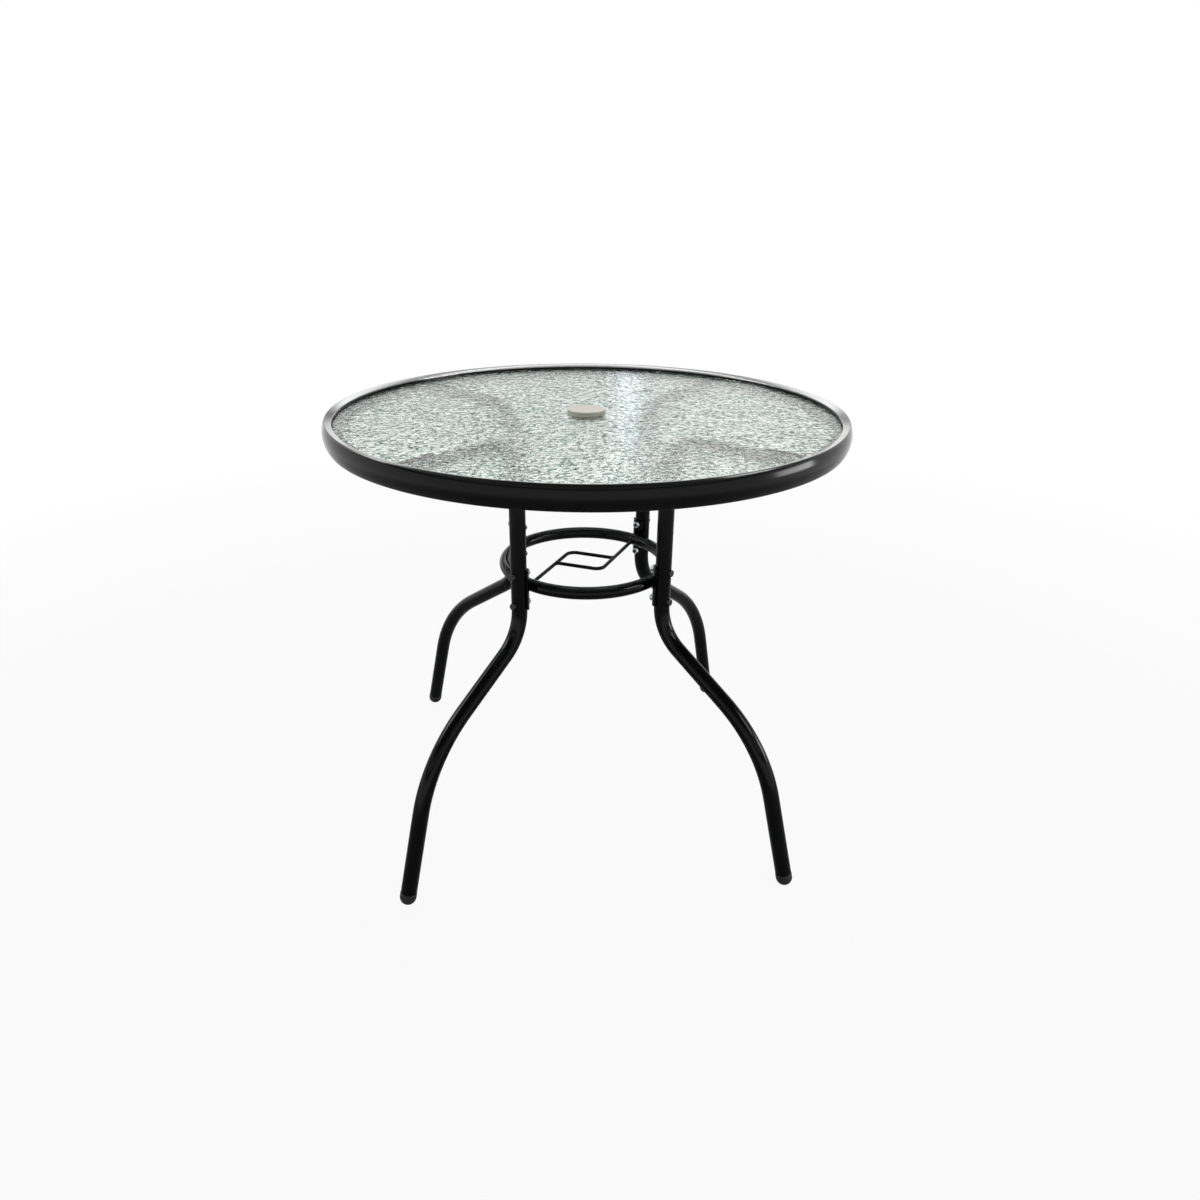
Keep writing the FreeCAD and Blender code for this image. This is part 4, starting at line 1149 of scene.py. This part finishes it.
# %% Hexagons and threads
FLATS = 10 * MM
HEAD_HEIGHT = 4 * MM
NUT_HEIGHT = 5.2 * MM
SHANK = 2.95 * MM
BORE_OF_NUT = SHANK + 0.1 * MM
THREAD_PITCH = 1 * MM
THREAD_DEPTH = 0.4 * MM
RINGS_PER_PITCH = 6
TIP_LENGTH = 0.6 * MM
TIP_TAPER = 0.9 * MM
HEX_POINTS = 48
CHAMFER_SLOPE = math.tan(math.radians(30))
HEAD_CHAMFER = 0.2 * MM
NUT_CHAMFER = 0.15 * MM


def hexagon(height, drop=0.0, round_to=None):
    """A ring round a hexagon, its corners lowered by drop per unit that they stand out."""
    loop = []
    for k in range(HEX_POINTS):
        turn = FULL * k / HEX_POINTS
        radius = FLATS / 2 / math.cos((turn + math.pi / 6) % (math.pi / 3) - math.pi / 6)
        stands_out = radius - FLATS / 2
        reach = min(radius, round_to) if round_to else radius
        loop.append((reach * math.cos(turn), reach * math.sin(turn), height - drop * stands_out))
    return loop


def threaded(start, end):
    """Rings down a thread between two heights, its groove climbing one pitch a turn."""
    rows = round((start - end) / THREAD_PITCH * RINGS_PER_PITCH)
    rings = []
    for row in range(rows + 1):
        height = start + (end - start) * row / rows
        loop = []
        for k in range(HEX_POINTS):
            turn = k / HEX_POINTS
            phase = (height / THREAD_PITCH + turn) % 1
            radius = SHANK - THREAD_DEPTH * (1 - abs(2 * phase - 1))
            loop.append((radius * math.cos(FULL * turn), radius * math.sin(FULL * turn), height))
        rings.append(loop)
    return rings


def hex_bolt(name, length, thread):
    """A bolt with its seat at height 0, its head above and its shank below."""
    flat_top = FLATS / 2 * 0.94
    return skin(name, [
        ring(0, HEAD_HEIGHT, 1),
        ring(flat_top, HEAD_HEIGHT, HEX_POINTS),
        hexagon(HEAD_HEIGHT - HEAD_CHAMFER, CHAMFER_SLOPE),
        hexagon(0),
        ring(SHANK, 0, HEX_POINTS),
        ring(SHANK, thread - length, HEX_POINTS),
        *threaded(thread - length, TIP_LENGTH - length),
        ring(SHANK - TIP_TAPER, -length, HEX_POINTS),
        ring(0, -length, 1),
    ])


def hex_nut(name):
    """A nut from height 0 to its height, chamfered on both faces."""
    round_face = FLATS / 2 * 0.96
    return skin(name, [
        ring(BORE_OF_NUT, 0, HEX_POINTS),
        ring(round_face, 0, HEX_POINTS),
        hexagon(NUT_CHAMFER, -CHAMFER_SLOPE),
        hexagon(NUT_HEIGHT - NUT_CHAMFER, CHAMFER_SLOPE),
        ring(round_face, NUT_HEIGHT, HEX_POINTS),
        ring(BORE_OF_NUT, NUT_HEIGHT, HEX_POINTS),
    ])


# %% Bolts and nuts of the hoop
BRACE_BOLT_LENGTH = 36 * MM
BRACE_BOLT_SPACING = 49.5 * MM
BOLT_THREAD = 12 * MM
brace_bolt_heights = [BRACE_HEIGHT + side * BRACE_BOLT_SPACING / 2 for side in (-1, 1)]
head_seat = LEG_CIRCLE + LEG_TUBE + PAINT_GAP
nut_face = LEG_CIRCLE - SADDLE_OUTSIDE - PAINT_GAP


def on_each_height(name, make, out):
    """Two copies of a fastener that points along +X, at the bolts' heights."""
    copies = []
    for number, height in enumerate(brace_bolt_heights):
        copy = make(f"{name}_{number}")
        copy.data.transform(Matrix.Translation((out, 0, height)) @ Z_TO_X)
        copies.append(copy)
    return join(name, copies)


def brace_bolt(name):
    """One of the long bolts through a leg and its plate."""
    return hex_bolt(name, BRACE_BOLT_LENGTH, BOLT_THREAD)


hoop_bolts = on_each_height("hoop_bolts", brace_bolt, head_seat)
grow(hoop_bolts, round_tree, {"Material": bolt_steel})
keep(dress(hoop_bolts, bolt_steel, crisp=25), "black_steel", "brace_bolts")

hoop_nuts = on_each_height("hoop_nuts", hex_nut, nut_face - NUT_HEIGHT)
grow(hoop_nuts, round_tree, {"Material": zinc_steel})
keep(dress(hoop_nuts, zinc_steel, crisp=25), "zinc_steel", "brace_nuts")

# %% Bolts and inserts of the arms
RIM_BOLT_LENGTH = 15 * MM
RIM_BOLT_SETBACK = 14 * MM
RIM_BOLT_SPACING = 25 * MM
INSERT_RADIUS = 4.5 * MM
rim_bolt_radii = [ARM_END - RIM_BOLT_SETBACK, ARM_END - RIM_BOLT_SETBACK - RIM_BOLT_SPACING]
rim_head_seat = ARM_HEIGHT - SADDLE_OUTSIDE - PAINT_GAP
insert_low, insert_high = (corner.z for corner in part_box("arm_inserts"))
upside_down = Matrix.Rotation(math.radians(180), 4, "X")

arm_bolts, arm_inserts = [], []
for number, out in enumerate(rim_bolt_radii):
    bolt = hex_bolt(f"arm_bolt_{number}", RIM_BOLT_LENGTH, BOLT_THREAD)
    bolt.data.transform(Matrix.Translation((out, 0, rim_head_seat)) @ upside_down)
    arm_bolts.append(bolt)
    insert = turned(f"arm_insert_{number}", rounded([
        (BORE_OF_NUT, insert_low, 0.1 * MM),
        (INSERT_RADIUS, insert_low, 0.3 * MM),
        (INSERT_RADIUS, insert_high, 0.5 * MM),
        (BORE_OF_NUT, insert_high, 0.3 * MM),
    ]), count=48)
    insert.data.transform(Matrix.Translation((out, 0, 0)))
    arm_inserts.append(insert)
arm_bolts = grow(join("arm_bolts", arm_bolts), round_tree, {"Material": bolt_steel})
keep(dress(arm_bolts, bolt_steel, crisp=25), "black_steel", "rim_bolts")
arm_inserts = grow(join("arm_nuts", arm_inserts), round_tree, {"Material": zinc_steel})
keep(dress(arm_inserts, zinc_steel), "zinc_steel", "arm_inserts")

# %% [markdown]
# ## Studio
#
# Black gloss paint shows only what it reflects, so the studio is as much part of the look as the
# paint. A pale floor fades into a pale backdrop. One soft box hangs above and lights the whole.
# Two windows and a strip stand left and right for the bright lines along the tubes. Three more
# are behind the table for the rim's crest and the right half of the glass, and a narrow one far
# behind gives the upright streak in the glass. Most are seen in gloss only, so that the floor
# stays evenly lit.

# %% Floor
FLOOR_RADIUS = 6.0
FADE_START = 0.9
FADE_END = 2.8
FLOOR_WHITENESS = 0.92
FLOOR_IN_GLOSS = 0.1


def make_floor_finish():
    """A pale floor that keeps the shadow, fades into the backdrop and can't be seen from below."""
    made = bpy.data.materials.new("studio_floor")
    made.use_nodes = True
    tree = made.node_tree
    tree.nodes.clear()
    place = add_node(tree, "ShaderNodeTexCoord").outputs["Object"]
    reach = add_node(tree, "ShaderNodeVectorMath", {0: place}, operation="LENGTH")
    fade = add_node(tree, "ShaderNodeMapRange", {0: reach.outputs["Value"], 1: FADE_START, 2: FADE_END},
                    interpolation_type="SMOOTHSTEP")
    matt = add_node(tree, "ShaderNodeBsdfDiffuse", {"Color": colour("DCDCDC")})
    glow = add_node(tree, "ShaderNodeEmission", {"Color": colour("FFFFFF"), "Strength": 1.0})
    rays = add_node(tree, "ShaderNodeLightPath")
    gloss = add_node(tree, "ShaderNodeMath", {0: rays.outputs["Is Glossy Ray"], 1: FLOOR_IN_GLOSS},
                     operation="MULTIPLY")
    seen = add_node(tree, "ShaderNodeMath", {0: rays.outputs["Is Camera Ray"], 1: gloss.outputs[0]},
                    operation="MAXIMUM")
    seen = add_node(tree, "ShaderNodeMath", {0: seen.outputs[0], 1: rays.outputs["Is Transmission Ray"]},
                    operation="MAXIMUM")
    share = add_node(tree, "ShaderNodeMath", {0: seen.outputs[0], 1: FLOOR_WHITENESS}, operation="MULTIPLY")
    pale = add_node(tree, "ShaderNodeMixShader",
                    {0: share.outputs[0], 1: matt.outputs[0], 2: glow.outputs[0]})
    clear = add_node(tree, "ShaderNodeBsdfTransparent")
    under = add_node(tree, "ShaderNodeNewGeometry").outputs["Backfacing"]
    gone = add_node(tree, "ShaderNodeMath", {0: fade.outputs[0], 1: under}, operation="MAXIMUM")
    faded = add_node(tree, "ShaderNodeMixShader",
                     {0: gone.outputs[0], 1: pale.outputs[0], 2: clear.outputs[0]})
    add_node(tree, "ShaderNodeOutputMaterial", {"Surface": faded.outputs[0]})
    return made


floor_mesh = bpy.data.meshes.new("floor")
floor_mesh.from_pydata(ring(FLOOR_RADIUS, 0, 64), [], [tuple(range(64))])
floor_mesh.materials.append(make_floor_finish())
floor = bpy.data.objects.new("floor", floor_mesh)
bpy.context.scene.collection.objects.link(floor)

# %% Backdrop
# Each step: the axis looked along, where it starts and ends, the brightness before and after it
BACKDROP_STEPS = {
    "behind": ("Y", -0.2, 0.6, 1.3, 1.0),
    "low_wall": ("Z", 0.2, 0.24, 1.25, 0.1),
    "high_wall": ("Z", 0.28, 0.33, 0.1, 1.0),
    "ceiling": ("Z", 0.4, 0.55, 1.0, 0.15),
}


def make_backdrop():
    """White to the eye and through glass, plain and soft for matt surfaces. Gloss sees a bright
    wall, a dimmer stripe some way up, a bright stripe over it and a dim ceiling."""
    world = bpy.data.worlds.new("backdrop")
    world.use_nodes = True
    tree = world.node_tree
    tree.nodes.clear()
    rays = add_node(tree, "ShaderNodeLightPath")
    place = add_node(tree, "ShaderNodeTexCoord").outputs["Generated"]
    towards = add_node(tree, "ShaderNodeSeparateXYZ", {0: place})
    step = {}
    for name, (axis, start, end, first, last) in BACKDROP_STEPS.items():
        step[name] = add_node(tree, "ShaderNodeMapRange", {
            0: towards.outputs[axis], 1: start, 2: end, 3: first, 4: last,
        }).outputs[0]
    walls = add_node(tree, "ShaderNodeMath", {0: step["low_wall"], 1: step["high_wall"]},
                     operation="MAXIMUM")
    level = add_node(tree, "ShaderNodeMath", {0: walls.outputs[0], 1: step["ceiling"]},
                     operation="MULTIPLY")
    glow = add_node(tree, "ShaderNodeMath", {0: step["behind"], 1: level.outputs[0]},
                    operation="MULTIPLY")
    room = add_node(tree, "ShaderNodeBackground", {"Color": colour("FFFFFF"), "Strength": glow.outputs[0]})
    soft = add_node(tree, "ShaderNodeBackground", {"Color": colour("FAFBFF"), "Strength": 0.38})
    white = add_node(tree, "ShaderNodeBackground", {"Color": colour("FFFFFF"), "Strength": 1.0})
    gloss = add_node(tree, "ShaderNodeMixShader",
                     {0: rays.outputs["Is Glossy Ray"], 1: soft.outputs[0], 2: room.outputs[0]})
    clear = add_node(tree, "ShaderNodeMixShader",
                     {0: rays.outputs["Is Transmission Ray"], 1: gloss.outputs[0], 2: white.outputs[0]})
    eye = add_node(tree, "ShaderNodeMixShader",
                   {0: rays.outputs["Is Camera Ray"], 1: clear.outputs[0], 2: white.outputs[0]})
    add_node(tree, "ShaderNodeOutputWorld", {"Surface": eye.outputs[0]})
    bpy.context.scene.world = world


make_backdrop()

# %% Soft boxes
AIM = Vector((0, 0, 0.5))
# Each soft box: its place, its width and height, watts, tone, and whether it lights matt surfaces
SOFT_BOXES = {
    "overhead": ((0.2, 0.5, 2.6), (1.2, 0.8), 16, "FFFFFF", True),
    "back_wall": ((0.15, 4.0, 2.68), (3.2, 1.05), 16, "FFFFFF", False),
    "back_high": ((0.1, 3.0, 3.3), (2.4, 0.5), 12, "FFFFFF", True),
    "left_window": ((-2.2, 0.5, 1.8), (1.2, 1.2), 36, "FFFFFF", False),
    "right_window": ((2.2, -0.4, 0.72), (0.8, 0.5), 17, "FFFFFF", False),
    "right_strip": ((2.0, -1.05, 1.8), (0.9, 0.7), 20, "FFFFFF", False),
    "right_far": ((1.69, 3.62, 1.62), (2.0, 1.0), 1.2, "FFF8F6", False),
    "streak": ((0.61, 4.0, 1.5), (0.07, 0.9), 0.45, "E2EFFF", True),
}


def add_soft_box(name, place, size, watts, tone, lights_matt):
    """A rectangular lamp that faces the table, hidden from the camera."""
    lamp = bpy.data.lights.new(name, "AREA")
    lamp.shape = "RECTANGLE"
    lamp.size, lamp.size_y = size
    lamp.energy = watts
    lamp.color = colour(tone)[:3]
    made = bpy.data.objects.new(name, lamp)
    made.location = place
    made.rotation_euler = (AIM - Vector(place)).to_track_quat("-Z", "Y").to_euler()
    made.visible_camera = False
    made.visible_diffuse = lights_matt
    bpy.context.scene.collection.objects.link(made)


for name, settings in SOFT_BOXES.items():
    add_soft_box(name, *settings)
print("lamps:", list(SOFT_BOXES))
